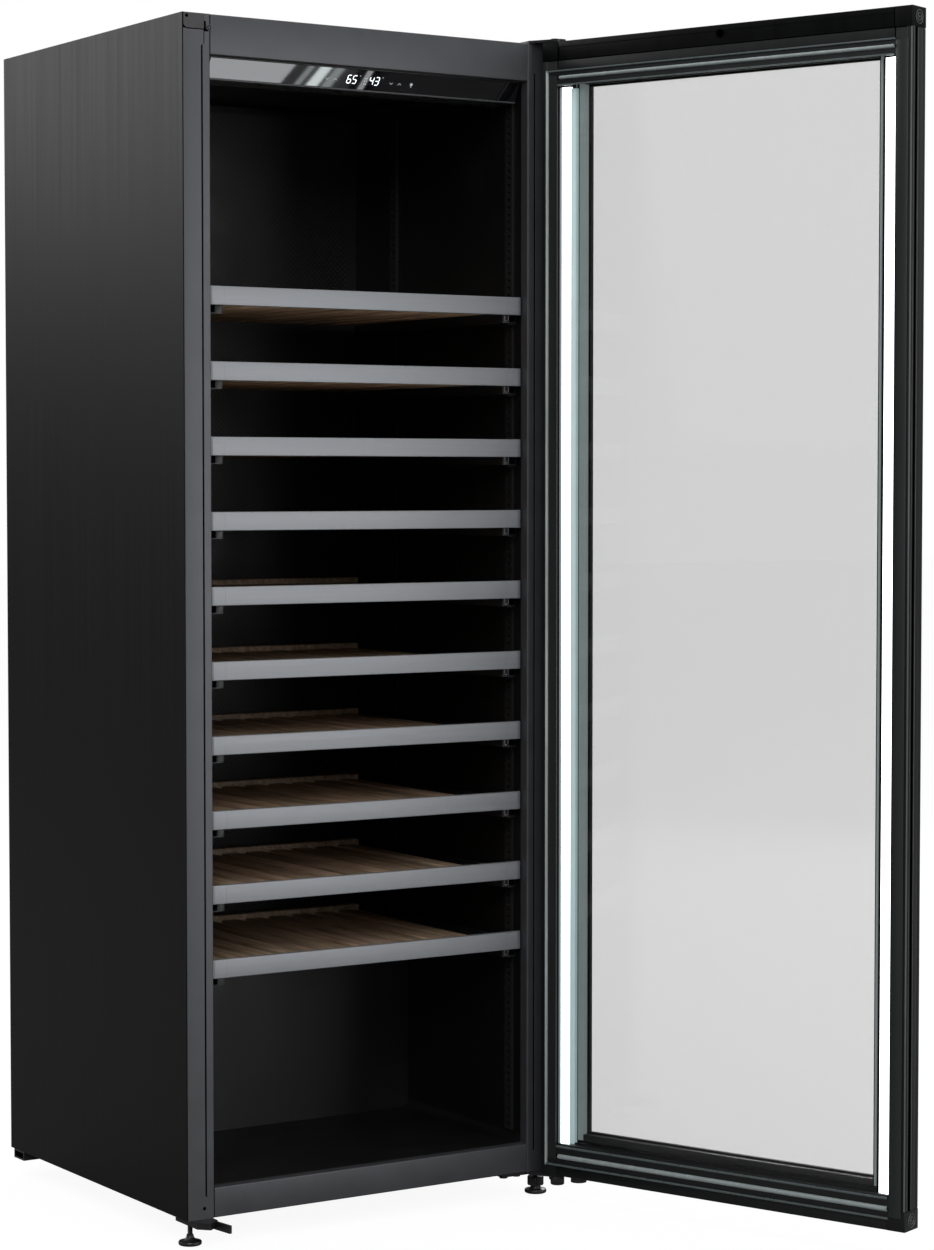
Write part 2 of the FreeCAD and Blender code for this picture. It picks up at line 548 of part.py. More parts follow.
rear = FRONT + " + lower_plate_reach"
corner = [("-half_width + corner_in", rear), ("-half_width + corner_in", FRONT + " - corner_front"),
          ("-half_width + corner_in + corner_slant", FRONT + " - corner_nose"),
          ("-plate_left - corner_past", FRONT + " - corner_front"), ("-plate_left - corner_past", rear)]
corner = prism("corner_plate", "XY_Plane", corner, "body_low - corner_thick", "body_low")
spine = [("-plate_left - arm_root", FRONT + " + arm_start"), ("-plate_left - arm_bend", FRONT),
         ("-plate_left - arm_tip", FRONT + " - arm_reach")]
arm = spine + [(across + " + arm_thick", deep) for across, deep in reversed(spine)]
arm = prism("arm", "XY_Plane", arm, LOW_PLATE + " + arm_lift - arm_high", LOW_PLATE + " + arm_lift")
left_stem_hole = rod("left_stem_hole", ("-foot_x", FRONT + " + foot_back", "body_low - corner_thick - over"),
                     "stem_clear", "corner_thick + 2 * over")
node("front_bracket_left", fuse("front_bracket_left", [cut("corner_drilled", corner, [left_stem_hole]), arm]))

# ---------------------------------------------------------------- feet
for sign, side_name in ((-1, "left"), (1, "right")):
    at_foot = ("%d * foot_x" % sign, FRONT + " + foot_back")
    pieces = [rod("disc_" + side_name, at_foot + ("0",), "foot_radius", "foot_disc"),
              cone("flare_" + side_name, at_foot + ("foot_disc",), "flare_low", "flare_top",
                   ("foot_flare" if sign < 0 else "short_flare") + " - foot_disc"),
              rod("stem_" + side_name, at_foot + ("foot_disc",), "stem_radius", "stem_top - foot_disc")]
    if sign > 0:
        pieces.append(rod("collar", at_foot + ("collar_low",), "collar_radius", "collar_top - collar_low"))
    node("foot_" + side_name, fuse("foot_" + side_name, pieces))

beam = box("rear_beam", ("-half_width", "half_width"), ("support_near", "support_far"),
           ("support_low", "body_low"))
pads = [rod("pad_%d" % i, ("%d * pad_x" % sign, "(support_near + support_far) / 2", "0"), "pad_radius",
            "support_low") for i, sign in enumerate((-1, 1))]
node("rear_supports", group("rear_supports", [beam] + pads))

# ---------------------------------------------------------------- fans


def oriented(axis, along, across, up):
    """Axis ranges ordered for a fan whose shaft runs along X or along Y."""
    return (along, across, up) if axis == "x" else (across, along, up)


def fan(name, axis, near, centre, height):
    """The frame's four walls, its strut and its motor, then the rotor that turns before the motor."""
    deep = (near, near + " + fan_deep")
    out = (centre + " - fan_half", centre + " + fan_half")
    up = (height + " - fan_half", height + " + fan_half")
    walls = []
    for i, high in enumerate((height + " - fan_half + fan_wall", height + " + fan_half")):
        level = (high + " - fan_wall", high)
        walls.append(box("%s_shelf_%d" % (name, i), *oriented(axis, deep, out, level)))
    inner = (height + " - fan_half + fan_wall", height + " + fan_half - fan_wall")
    for i, far in enumerate((centre + " - fan_half + fan_wall", centre + " + fan_half")):
        walls.append(box("%s_wall_%d" % (name, i), *oriented(axis, deep, (far + " - fan_wall", far), inner)))
    strut = (near + " + fan_deep - strut_thick", near + " + fan_deep")
    narrow = (centre + " - strut_wide / 2", centre + " + strut_wide / 2")
    walls.append(box(name + "_strut", *oriented(axis, strut, narrow, inner)))
    along = (1, 0, 0) if axis == "x" else (0, 1, 0)
    start = near + " + hub_gap"
    base = (start, centre, height) if axis == "x" else (centre, start, height)
    rotor = [rod(name + "_hub", base, "hub_radius", "hub_deep", along)]
    for i in range(BLADE_COUNT):
        blade = doc.addObject("Part::Box", "%s_blade_%d" % (name, i))
        bind(blade, "Length", "blade_thick")
        bind(blade, "Width", "hub_deep")
        bind(blade, "Height", "blade_reach - hub_radius / 2")
        spin = FreeCAD.Rotation(FreeCAD.Vector(*along), i * 360.0 / BLADE_COUNT)
        to_shaft = FreeCAD.Rotation(FreeCAD.Vector(0, 0, 1), -90 if axis == "x" else 0)
        pitch = FreeCAD.Rotation(FreeCAD.Vector(0, 0, 1), BLADE_PITCH)
        turn = spin * to_shaft * pitch
        blade.Placement = FreeCAD.Placement(FreeCAD.Vector(), turn)
        middle = turn.multVec(FreeCAD.Vector(-0.5, -0.5, 0))
        lift = turn.multVec(FreeCAD.Vector(0, 0, 1))
        origin = (start + " + hub_deep / 2", centre, height) if axis == "x" else \
                 (centre, start + " + hub_deep / 2", height)
        sizes = turn.multVec(FreeCAD.Vector(1, 0, 0)), turn.multVec(FreeCAD.Vector(0, 1, 0))
        for letter, text, rise, first, second in zip("xyz", origin, lift, *sizes):
            offset = "%s + hub_radius / 2 * %.6f - blade_thick / 2 * %.6f - hub_deep / 2 * %.6f" % (
                text, rise, first, second)
            bind(blade, "Placement.Base." + letter, offset)
        rotor.append(blade)
    return walls, fuse(name + "_rotor", rotor)


air_walls, air_rotor = fan("air_fan", "y", "air_fan_y", "0", "air_fan_z")
bay_walls, bay_rotor = fan("bay_fan", "x", "bay_fan_x", "bay_fan_y", "bay_fan_z")
node("fan_frames", group("fan_frames", air_walls + bay_walls))
node("circulation_fan", air_rotor)
node("condenser_fan", bay_rotor)

# ---------------------------------------------------------------- screws
screws = []
for i, (x, y) in enumerate((("plate_left + plate_bolt_in", "plate_bolt_far"),
                            ("half_width - plate_bolt_in", "plate_bolt_far"),
                            ("plate_left + plate_bolt_mid", "plate_bolt_near"))):
    screws.append(rod("plate_screw_%d" % i, (x, FRONT + " + " + y, "body_top + plate_thick"), "bolt_radius",
                      "bolt_high"))
for i, y in enumerate(("bracket_bolt_near", "bracket_bolt_far", "bracket_bolt_near")):
    x = "lower_plate_left + bracket_bolt_in + %d * bracket_bolt_pitch" % i
    screws.append(rod("bracket_bolt_%d" % i, (x, FRONT + " + " + y, LOW_PLATE + " - bolt_high"),
                      "bolt_radius", "bolt_high"))
screws.append(rod("cover_screw", ("-mouth_half - cover_screw_out", FRONT + " - face_head",
                                 "body_top - cover_screw_down"),
                  "screw_radius", "face_head", (0, 1, 0)))
screws.append(rod("low_screw", (LOW_SCREW[0], FRONT + " + recess_deep - face_head", LOW_SCREW[1]),
                  "screw_radius", "face_head", (0, 1, 0)))
for i in range(REAR_COLUMNS):
    x = "-half_width + rear_screw_in + %d * 2 * (half_width - rear_screw_in) / %d" % (i, REAR_COLUMNS - 1)
    for name, z in (("low", "body_low + rear_screw_up"), ("mid", "bay_top - rear_screw_up"),
                    ("top", "body_top - rear_screw_down")):
        screws.append(rod("rear_%s_%d" % (name, i), (x, BACK, z), "screw_radius", "screw_high", (0, 1, 0)))
node("cabinet_screws", group("cabinet_screws", screws))

# ---------------------------------------------------------------- door, about the hinge axis
EDGE = "-pivot_x - door_half"
HINGE_EDGE = "door_half - pivot_x"
OUTER = "door_inner - door_thick"
TALL = ("door_low", "door_top")
SEAT = "door_inner - door_thick + lip_thick"


def inset(amount):
    """The door's outline drawn in by an amount on all four sides."""
    return (("%s + %s" % (EDGE, amount), "%s - %s" % (HINGE_EDGE, amount)),
            ("door_low + " + amount, "door_top - " + amount))


slab = box("door_slab", (EDGE, HINGE_EDGE), (OUTER, "door_inner"), TALL)
across, up = inset("frame_lip")
window = box("door_window", across, (OUTER + " - over", "door_inner + over"), up)
across, up = inset("frame_block")
rebate = box("door_rebate", across, (SEAT, "door_inner + over"), up)
tools = [window, rebate]
for sign in (-1, 1):
    far = "-pivot_x + %d * channel_out" % sign
    near = "-pivot_x + %d * (door_half - frame_block)" % sign
    ends = (far, near) if sign < 0 else (near, far)
    tools.append(box("light_channel_%s" % ("left" if sign < 0 else "right"), ends,
                     ("door_inner - light_channel", "door_inner + over"), ("light_low", "light_top")))
tools.append(box("finger_grip", (EDGE + " - over", EDGE + " + grip_deep"),
                 ("door_inner - grip_to", "door_inner - grip_from"),
                 ("door_low + cap_size", "door_top - cap_size")))
for name, low in (("low", "door_low - over"), ("top", "door_top - bush_high")):
    tools.append(rod("bush_hole_" + name, ("0", "0", low), "bush_radius", "bush_high + over"))
ring = cut("door_ring", slab, tools)
across, up = inset("frame_lip")
middle = "(door_low + door_top) / 2"
deep = (OUTER + " - over", "door_inner + over")
CAP_X = ("-pivot_x - door_half + cap_size", "-pivot_x + door_half - cap_size")
CAP_Z = ("door_low + cap_size", "door_top - cap_size")
below, above = "door_low - over", "door_top + over"
past_left, past_right = EDGE + " - over", HINGE_EDGE + " + over"
catch = rod("catch_hole", ("-pivot_x", "door_inner + over", "door_top - catch_low"), "catch_radius",
            "catch_deep + over", (0, -1, 0))
ring = cut("door_ring_drilled", ring, [catch])
parts = {"free_side": box("part_left", (past_left, across[0]), deep, CAP_Z),
         "hinge_side": box("part_right", (across[1], past_right), deep, CAP_Z),
         "low": fuse("part_low", [box("part_low_in", across, deep, (CAP_Z[0], middle)),
                                  box("part_low_out", CAP_X, deep, (below, CAP_Z[0]))]),
         "top": fuse("part_top", [box("part_top_in", across, deep, (middle, CAP_Z[1])),
                                  box("part_top_out", CAP_X, deep, (CAP_Z[1], above))])}
members = [common("member_" + name, ring, part) for name, part in parts.items()]
door_node("door_frame", group("door_frame", members))

across, up = inset("pane_edge")
outer_y = (SEAT, SEAT + " + outer_pane")
inner_y = (SEAT + " + outer_pane + pane_gap", SEAT + " + outer_pane + pane_gap + inner_pane")
panes = [box("outer_pane", across, outer_y, up), box("inner_pane", across, inner_y, up)]
door_node("glass_panes", group("glass_panes", panes))

across, up = inset("spacer_edge")
gap_y = (outer_y[1], inner_y[0])
inner_up = (up[0] + " + spacer_wide", up[1] + " - spacer_wide")
spacers = [box("spacer_low", across, gap_y, (up[0], inner_up[0])),
           box("spacer_top", across, gap_y, (inner_up[1], up[1])),
           box("spacer_left", (across[0], across[0] + " + spacer_wide"), gap_y, inner_up),
           box("spacer_right", (across[1] + " - spacer_wide", across[1]), gap_y, inner_up)]
door_node("glass_spacer", group("glass_spacer", spacers))

lamps = []
for sign, side_name in ((-1, "left"), (1, "right")):
    lamp = [("light_near", "light_near_deep"), ("light_far", "light_far_deep"),
            ("channel_out", "light_far_deep"), ("channel_out", "light_channel"),
            ("light_near", "light_channel")]
    lamp = [("-pivot_x + %d * %s" % (sign, out), "door_inner - " + low) for out, low in lamp]
    lamps.append(prism("lamp_" + side_name, "XY_Plane", lamp, "light_low", "light_top"))
door_node("door_lights", group("door_lights", lamps))

seal_y = ("door_inner", "door_inner + gasket_proud")
seal_x = ("-pivot_x - gasket_out", "-pivot_x + gasket_out")
seal_up = ("gasket_low + gasket_wide", "gasket_top - gasket_wide")
seals = [box("seal_low", seal_x, seal_y, ("gasket_low", seal_up[0])),
         box("seal_top", seal_x, seal_y, (seal_up[1], "gasket_top")),
         box("seal_left", (seal_x[0], seal_x[0] + " + gasket_wide"), seal_y, seal_up),
         box("seal_right", (seal_x[1] + " - gasket_wide", seal_x[1]), seal_y, seal_up)]
door_node("door_gasket", group("door_gasket", seals))

caps = []
for side_name, along_x, edge, out in (("left", (past_left, CAP_X[0]), EDGE, -1),
                                      ("right", (CAP_X[1], past_right), HINGE_EDGE, 1)):
    for level, along_z, start in (("low", (below, CAP_Z[0]), "door_low"),
                                  ("top", (CAP_Z[1], above), CAP_Z[1])):
        name = "cap_%s_%s" % (level, side_name)
        block = common(name + "_block", ring, box(name + "_part", along_x, deep, along_z))
        boss = rod(name + "_boss", (edge, "door_inner - door_thick / 2", start + " + cap_size / 2"),
                   "boss_radius", "boss_proud", (out, 0, 0))
        caps.append(fuse(name, [block, boss]))
door_node("door_corner_caps", group("door_corner_caps", caps))

bushes = []
for name, low in (("low", "door_low"), ("top", "door_top - bush_high")):
    sleeve = rod("sleeve_" + name, ("0", "0", low), "bush_radius", "bush_high")
    bore = rod("bore_" + name, ("0", "0", low + " - over"), "pin_radius + pin_fit", "bush_high + 2 * over")
    bushes.append(cut("bush_" + name, sleeve, [bore]))
bushes.append(rod("stop_bush", ("-stop_back", "stop_side", "door_low - stop_high"), "stop_radius",
                  "stop_high"))
door_node("door_bushes", group("door_bushes", bushes))

# ---------------------------------------------------------------- checks and files
doc.recompute()
for obj in doc.Objects:
    if "Invalid" in obj.State or "Error" in obj.State:
        raise RuntimeError("%s: %s" % (obj.Label, obj.State))
for obj in NODES:
    if obj.Shape.isNull() or not obj.Shape.isValid() or not obj.Shape.Solids:
        raise RuntimeError("%s has no valid shape" % obj.Label)

os.makedirs("parts", exist_ok=True)
for obj in NODES:
    obj.Shape.exportStep(os.path.join("parts", obj.Label + ".step"))
print("%d nodes written" % len(NODES))
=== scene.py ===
import json
import math
import random

import bmesh
import bpy
from mathutils import Matrix, Vector


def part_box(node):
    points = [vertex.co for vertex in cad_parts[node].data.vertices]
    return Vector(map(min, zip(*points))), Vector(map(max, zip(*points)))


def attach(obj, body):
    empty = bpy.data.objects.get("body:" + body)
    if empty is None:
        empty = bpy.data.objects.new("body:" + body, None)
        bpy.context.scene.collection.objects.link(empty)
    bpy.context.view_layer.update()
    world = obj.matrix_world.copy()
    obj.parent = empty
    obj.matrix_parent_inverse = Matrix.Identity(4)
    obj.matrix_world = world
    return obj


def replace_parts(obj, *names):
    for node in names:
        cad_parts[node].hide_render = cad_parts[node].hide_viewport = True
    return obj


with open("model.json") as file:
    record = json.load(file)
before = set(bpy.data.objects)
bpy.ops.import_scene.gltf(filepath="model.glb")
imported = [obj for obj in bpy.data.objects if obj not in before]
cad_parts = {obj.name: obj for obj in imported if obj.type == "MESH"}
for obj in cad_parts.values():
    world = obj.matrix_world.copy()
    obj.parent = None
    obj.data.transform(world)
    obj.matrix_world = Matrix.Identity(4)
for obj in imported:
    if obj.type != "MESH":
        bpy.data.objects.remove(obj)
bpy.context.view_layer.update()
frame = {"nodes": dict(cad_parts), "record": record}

MM = 0.001
random.seed(7)

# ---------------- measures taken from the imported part
JOINTS = {joint["name"]: joint for joint in frame["record"]["behaviour"]["joints"]}
PIVOT = Vector(JOINTS["door_hinge"]["pos_m"])
REST_ANGLE = math.radians(110)
DOOR = Matrix.Translation((PIVOT.x, PIVOT.y, 0)) @ Matrix.Rotation(REST_ANGLE, 4, "Z")


def span(node):
    """Lowest and highest corner of a node, in millimetres."""
    low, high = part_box(node)
    return [v * 1000 for v in low], [v * 1000 for v in high]


SIDE_LOW, SIDE_HIGH = span("side_panel_right")
HALF = SIDE_HIGH[0]
FRONT, BACK = SIDE_LOW[1], SIDE_HIGH[1]
BODY_LOW, BODY_TOP = SIDE_LOW[2], SIDE_HIGH[2]
FACE_HALF = span("stiles")[1][0]
FACE_BACK = span("stiles")[1][1]
MOUTH_LOW = span("sill")[1][2]
MOUTH_TOP = span("header")[0][2]
MOUTH_HALF = span("header")[1][0] + 0.2
DOOR_LOW, DOOR_TOP = span("door_frame")[0][2], span("door_frame")[1][2]
DOOR_HALF = 326.25
INNER = 19.5
SHELVES = ["shelf_%02d" % (k + 1) for k in range(10)]


# ---------------- materials
def link(tree, source, target):
    tree.links.new(source, target)


def finish(name, colour, rough, metal=0.0, grain=(40, 40, 40), vary=0.12, rough_vary=0.08, bump=0.05,
           fine=900.0, coat=0.0, depth=0.0004):
    """A paint, metal or plastic: uneven tone and gloss along a grain, with a fine relief over it."""
    mat = bpy.data.materials.new(name)
    mat.use_nodes = True
    tree = mat.node_tree
    shader = tree.nodes["Principled BSDF"]
    shader.inputs["Metallic"].default_value = metal
    shader.inputs["Coat Weight"].default_value = coat
    shader.inputs["Coat Roughness"].default_value = 0.15
    place = tree.nodes.new("ShaderNodeTexCoord")
    stretch = tree.nodes.new("ShaderNodeMapping")
    stretch.inputs["Scale"].default_value = grain
    link(tree, place.outputs["Object"], stretch.inputs["Vector"])
    tone = tree.nodes.new("ShaderNodeTexNoise")
    tone.inputs["Scale"].default_value = 1.0
    tone.inputs["Detail"].default_value = 5.0
    link(tree, stretch.outputs["Vector"], tone.inputs["Vector"])
    ramp = tree.nodes.new("ShaderNodeValToRGB")
    ramp.color_ramp.elements[0].position = 0.3
    ramp.color_ramp.elements[1].position = 0.7
    ramp.color_ramp.elements[0].color = [c * (1 - vary) for c in colour] + [1]
    ramp.color_ramp.elements[1].color = [min(1, c * (1 + vary)) for c in colour] + [1]
    link(tree, tone.outputs["Fac"], ramp.inputs["Fac"])
    link(tree, ramp.outputs["Color"], shader.inputs["Base Color"])
    gloss = tree.nodes.new("ShaderNodeMapRange")
    gloss.inputs["From Min"].default_value = 0.3
    gloss.inputs["From Max"].default_value = 0.7
    gloss.inputs["To Min"].default_value = max(0.03, rough - rough_vary)
    gloss.inputs["To Max"].default_value = min(1, rough + rough_vary)
    link(tree, tone.outputs["Fac"], gloss.inputs["Value"])
    link(tree, gloss.outputs["Result"], shader.inputs["Roughness"])
    relief = tree.nodes.new("ShaderNodeTexNoise")
    relief.inputs["Scale"].default_value = fine
    relief.inputs["Detail"].default_value = 3.0
    link(tree, place.outputs["Object"], relief.inputs["Vector"])
    raised = tree.nodes.new("ShaderNodeBump")
    raised.inputs["Strength"].default_value = bump
    raised.inputs["Distance"].default_value = depth
    link(tree, relief.outputs["Fac"], raised.inputs["Height"])
    link(tree, raised.outputs["Normal"], shader.inputs["Normal"])
    return mat


def lit(name, colour, strength, spread=0.06):
    """A glowing surface, a little brighter in some places than in others: a lit diffuser, or painted glow on
    a part that the light bars light.
    """
    mat = bpy.data.materials.new(name)
    mat.use_nodes = True
    tree = mat.node_tree
    shader = tree.nodes["Principled BSDF"]
    shader.inputs["Roughness"].default_value = 0.5
    place = tree.nodes.new("ShaderNodeTexCoord")
    cloud = tree.nodes.new("ShaderNodeTexNoise")
    cloud.inputs["Scale"].default_value = 30.0
    link(tree, place.outputs["Object"], cloud.inputs["Vector"])
    ramp = tree.nodes.new("ShaderNodeValToRGB")
    ramp.color_ramp.elements[0].color = [c * (1 - spread) for c in colour] + [1]
    ramp.color_ramp.elements[1].color = list(colour) + [1]
    link(tree, cloud.outputs["Fac"], ramp.inputs["Fac"])
    link(tree, ramp.outputs["Color"], shader.inputs["Base Color"])
    link(tree, ramp.outputs["Color"], shader.inputs["Emission Color"])
    shader.inputs["Emission Strength"].default_value = strength
    return mat


def pane(name, tint, gloss):
    """Flat glass that tints what is behind it and mirrors more at a shallow angle."""
    mat = bpy.data.materials.new(name)
    mat.use_nodes = True
    tree = mat.node_tree
    tree.nodes.remove(tree.nodes["Principled BSDF"])
    out = tree.nodes["Material Output"]
    clear = tree.nodes.new("ShaderNodeBsdfTransparent")
    mirror = tree.nodes.new("ShaderNodeBsdfGlossy")
    mirror.inputs["Roughness"].default_value = 0.02
    place = tree.nodes.new("ShaderNodeTexCoord")
    cloud = tree.nodes.new("ShaderNodeTexNoise")
    cloud.inputs["Scale"].default_value = 2.0
    link(tree, place.outputs["Object"], cloud.inputs["Vector"])
    ramp = tree.nodes.new("ShaderNodeValToRGB")
    ramp.color_ramp.elements[0].color = [c * 0.995 for c in tint] + [1]
    ramp.color_ramp.elements[1].color = list(tint) + [1]
    link(tree, cloud.outputs["Fac"], ramp.inputs["Fac"])
    link(tree, ramp.outputs["Color"], clear.inputs["Color"])
    edge = tree.nodes.new("ShaderNodeFresnel")
    edge.inputs["IOR"].default_value = 1.45
    share = tree.nodes.new("ShaderNodeMath")
    share.operation = "MULTIPLY"
    share.inputs[1].default_value = gloss
    link(tree, edge.outputs["Fac"], share.inputs[0])
    mix = tree.nodes.new("ShaderNodeMixShader")
    link(tree, share.outputs["Value"], mix.inputs["Fac"])
    link(tree, clear.outputs["BSDF"], mix.inputs[1])
    link(tree, mirror.outputs["BSDF"], mix.inputs[2])
    link(tree, mix.outputs["Shader"], out.inputs["Surface"])
    return mat


def timber(name):
    """Straight-grained wood, multiplied by the colour attribute that gives each slat its own tone."""
    mat = bpy.data.materials.new(name)
    mat.use_nodes = True
    tree = mat.node_tree
    shader = tree.nodes["Principled BSDF"]
    place = tree.nodes.new("ShaderNodeTexCoord")
    stretch = tree.nodes.new("ShaderNodeMapping")
    stretch.inputs["Scale"].default_value = (110, 5, 110)
    link(tree, place.outputs["Object"], stretch.inputs["Vector"])
    grain = tree.nodes.new("ShaderNodeTexNoise")
    grain.inputs["Scale"].default_value = 1.2
    grain.inputs["Detail"].default_value = 8.0
    grain.inputs["Distortion"].default_value = 0.8
    link(tree, stretch.outputs["Vector"], grain.inputs["Vector"])
    ramp = tree.nodes.new("ShaderNodeValToRGB")
    ramp.color_ramp.elements[0].position = 0.32
    ramp.color_ramp.elements[0].color = (0.34, 0.235, 0.145, 1)
    ramp.color_ramp.elements[1].position = 0.68
    ramp.color_ramp.elements[1].color = (0.78, 0.60, 0.42, 1)
    link(tree, grain.outputs["Fac"], ramp.inputs["Fac"])
    info = tree.nodes.new("ShaderNodeAttribute")
    info.attribute_name = "tone"
    shade = tree.nodes.new("ShaderNodeMix")
    shade.data_type = "RGBA"
    shade.blend_type = "MULTIPLY"
    shade.inputs["Factor"].default_value = 0.6
    link(tree, ramp.outputs["Color"], shade.inputs["A"])
    link(tree, info.outputs["Color"], shade.inputs["B"])
    link(tree, shade.outputs["Result"], shader.inputs["Base Color"])
    gloss = tree.nodes.new("ShaderNodeMapRange")
    gloss.inputs["To Min"].default_value = 0.42
    gloss.inputs["To Max"].default_value = 0.62
    link(tree, grain.outputs["Fac"], gloss.inputs["Value"])
    link(tree, gloss.outputs["Result"], shader.inputs["Roughness"])
    raised = tree.nodes.new("ShaderNodeBump")
    raised.inputs["Strength"].default_value = 0.25
    raised.inputs["Distance"].default_value = 0.0005
    link(tree, grain.outputs["Fac"], raised.inputs["Height"])
    link(tree, raised.outputs["Normal"], shader.inputs["Normal"])
    return mat


def perforated(name, colour, hole, pitch, reach):
    """Black sheet with staggered round holes: dark, dished spots on a triangular grid."""
    mat = finish(name, colour, 0.42, grain=(15, 15, 15), vary=0.1, bump=0.04)
    tree = mat.node_tree
    shader = tree.nodes["Principled BSDF"]
    place = tree.nodes.new("ShaderNodeTexCoord")
    split = tree.nodes.new("ShaderNodeSeparateXYZ")
    link(tree, place.outputs["Object"], split.inputs["Vector"])

    def math_node(kind, first, second=None):
        node = tree.nodes.new("ShaderNodeMath")
        node.operation = kind
        for slot, value in ((0, first), (1, second)):
            if value is None:
                continue
            if isinstance(value, (int, float)):
                node.inputs[slot].default_value = value
            else:
                link(tree, value, node.inputs[slot])
        return node.outputs["Value"]

    spots = []
    for shift in (0.0, 0.5):
        across = math_node("ADD", math_node("DIVIDE", split.outputs["X"], pitch), shift)
        up = math_node("ADD", math_node("DIVIDE", split.outputs["Z"], pitch), shift)
        offset_x = math_node("SUBTRACT", math_node("FRACT", math_node("ADD", across, 100.0)), 0.5)
        offset_z = math_node("SUBTRACT", math_node("FRACT", math_node("ADD", up, 100.0)), 0.5)
        square = math_node("ADD", math_node("MULTIPLY", offset_x, offset_x),
                           math_node("MULTIPLY", offset_z, offset_z))
        spots.append(math_node("SQRT", square))
    nearest = math_node("MINIMUM", spots[0], spots[1])
    wall = tree.nodes.new("ShaderNodeMapRange")
    wall.inputs["From Min"].default_value = hole / pitch * 0.9
    wall.inputs["From Max"].default_value = hole / pitch * 1.1
    link(tree, nearest, wall.inputs["Value"])
    inside = math_node("LESS_THAN", math_node("ABSOLUTE", split.outputs["X"]), reach)
    solid = math_node("MAXIMUM", wall.outputs["Result"], math_node("SUBTRACT", 1.0, inside))
    shade = tree.nodes.new("ShaderNodeMix")
    shade.data_type = "RGBA"
    shade.inputs["A"].default_value = (0.0008, 0.0008, 0.0008, 1)
    link(tree, solid, shade.inputs["Factor"])
    link(tree, shader.inputs["Base Color"].links[0].from_socket, shade.inputs["B"])
    link(tree, shade.outputs["Result"], shader.inputs["Base Color"])
    raised = tree.nodes.new("ShaderNodeBump")
    raised.inputs["Strength"].default_value = 0.6
    raised.inputs["Distance"].default_value = 0.001
    link(tree, solid, raised.inputs["Height"])
    link(tree, raised.outputs["Normal"], shader.inputs["Normal"])
    return mat


side_paint = finish("side_paint_look", (0.0026, 0.0026, 0.0032), 0.40, grain=(160, 160, 1.5), vary=0.2,
                    rough_vary=0.03, bump=0.03, fine=1500)
side_paint.node_tree.nodes["Principled BSDF"].inputs["Specular IOR Level"].default_value = 0.10
front_paint = finish("front_paint_look", (0.075, 0.077, 0.083), 0.40, metal=0.55, grain=(30, 30, 30),
                     vary=0.05, rough_vary=0.04, bump=0.05, fine=2600)
back_paint = finish("back_paint_look", (0.012, 0.012, 0.012), 0.5, grain=(20, 20, 4), vary=0.2)
galvanised = finish("galvanised_look", (0.42, 0.43, 0.44), 0.38, metal=1.0, grain=(18, 18, 18), vary=0.25,
                    rough_vary=0.12)
liner_black = finish("liner_look", (0.0016, 0.0018, 0.0018), 0.45, grain=(8, 8, 8), vary=0.2, bump=0.03)
foam = finish("foam_look", (0.72, 0.6, 0.35), 0.9, grain=(60, 60, 60), vary=0.15, bump=0.6, fine=500)
duct = perforated("duct_look", (0.0050, 0.0056, 0.0056), 0.0023, 0.0092, 0.262)
coil_metal = finish("coil_look", (0.55, 0.55, 0.57), 0.35, metal=1.0, grain=(300, 4, 4), vary=0.3)
standard_black = finish("standard_look", (0.02, 0.02, 0.021), 0.35, metal=0.3, grain=(20, 20, 6))
rail_steel = finish("rail_look", (0.018, 0.018, 0.019), 0.36, metal=0.4, grain=(60, 3, 60), vary=0.2)
clip_steel = finish("clip_look", (0.16, 0.165, 0.17), 0.3, metal=0.9, grain=(60, 60, 60), vary=0.15)
control_black = finish("control_case_look", (0.02, 0.02, 0.022), 0.3, grain=(20, 60, 60), bump=0.03)
control_glass = finish("control_glass_look", (0.004, 0.004, 0.005), 0.02, grain=(6, 6, 6), vary=0.1,
                       rough_vary=0.0, bump=0.0, coat=0.6)
control_glass.node_tree.nodes["Principled BSDF"].inputs["Coat Roughness"].default_value = 0.02
hinge_steel = finish("hinge_look", (0.022, 0.022, 0.024), 0.38, metal=0.5, grain=(60, 60, 60), vary=0.2)
pin_steel = finish("pin_look", (0.05, 0.05, 0.053), 0.32, metal=0.9, grain=(10, 10, 300), vary=0.2)
cover_plastic = finish("cover_look", (0.03, 0.03, 0.032), 0.34, grain=(30, 30, 30))
foot_black = finish("foot_look", (0.010, 0.010, 0.010), 0.42, grain=(60, 60, 60), vary=0.2, bump=0.1)
compressor_paint = finish("compressor_look", (0.01, 0.01, 0.01), 0.2, grain=(12, 12, 12), coat=0.4)
fan_black = finish("fan_look", (0.015, 0.015, 0.015), 0.45, grain=(30, 30, 30))
tray_plastic = finish("tray_look", (0.08, 0.08, 0.08), 0.5, grain=(30, 30, 30))
screw_steel = finish("screw_look", (0.09, 0.09, 0.095), 0.32, metal=0.9, grain=(80, 80, 80), vary=0.2)
door_metal = finish("door_metal_look", (0.0085, 0.0092, 0.0095), 0.40, metal=0.1, grain=(110, 110, 2),
                    vary=0.12, rough_vary=0.04, bump=0.03, fine=1800)
# near-black door finish for the printed border and the free-side bead, also used as painted shade on the top
# member and top caps
door_dark_and_shade = finish("door_dark_and_shade_look", (0.0015, 0.0018, 0.0018), 0.45, grain=(60, 60, 3), vary=0.15)
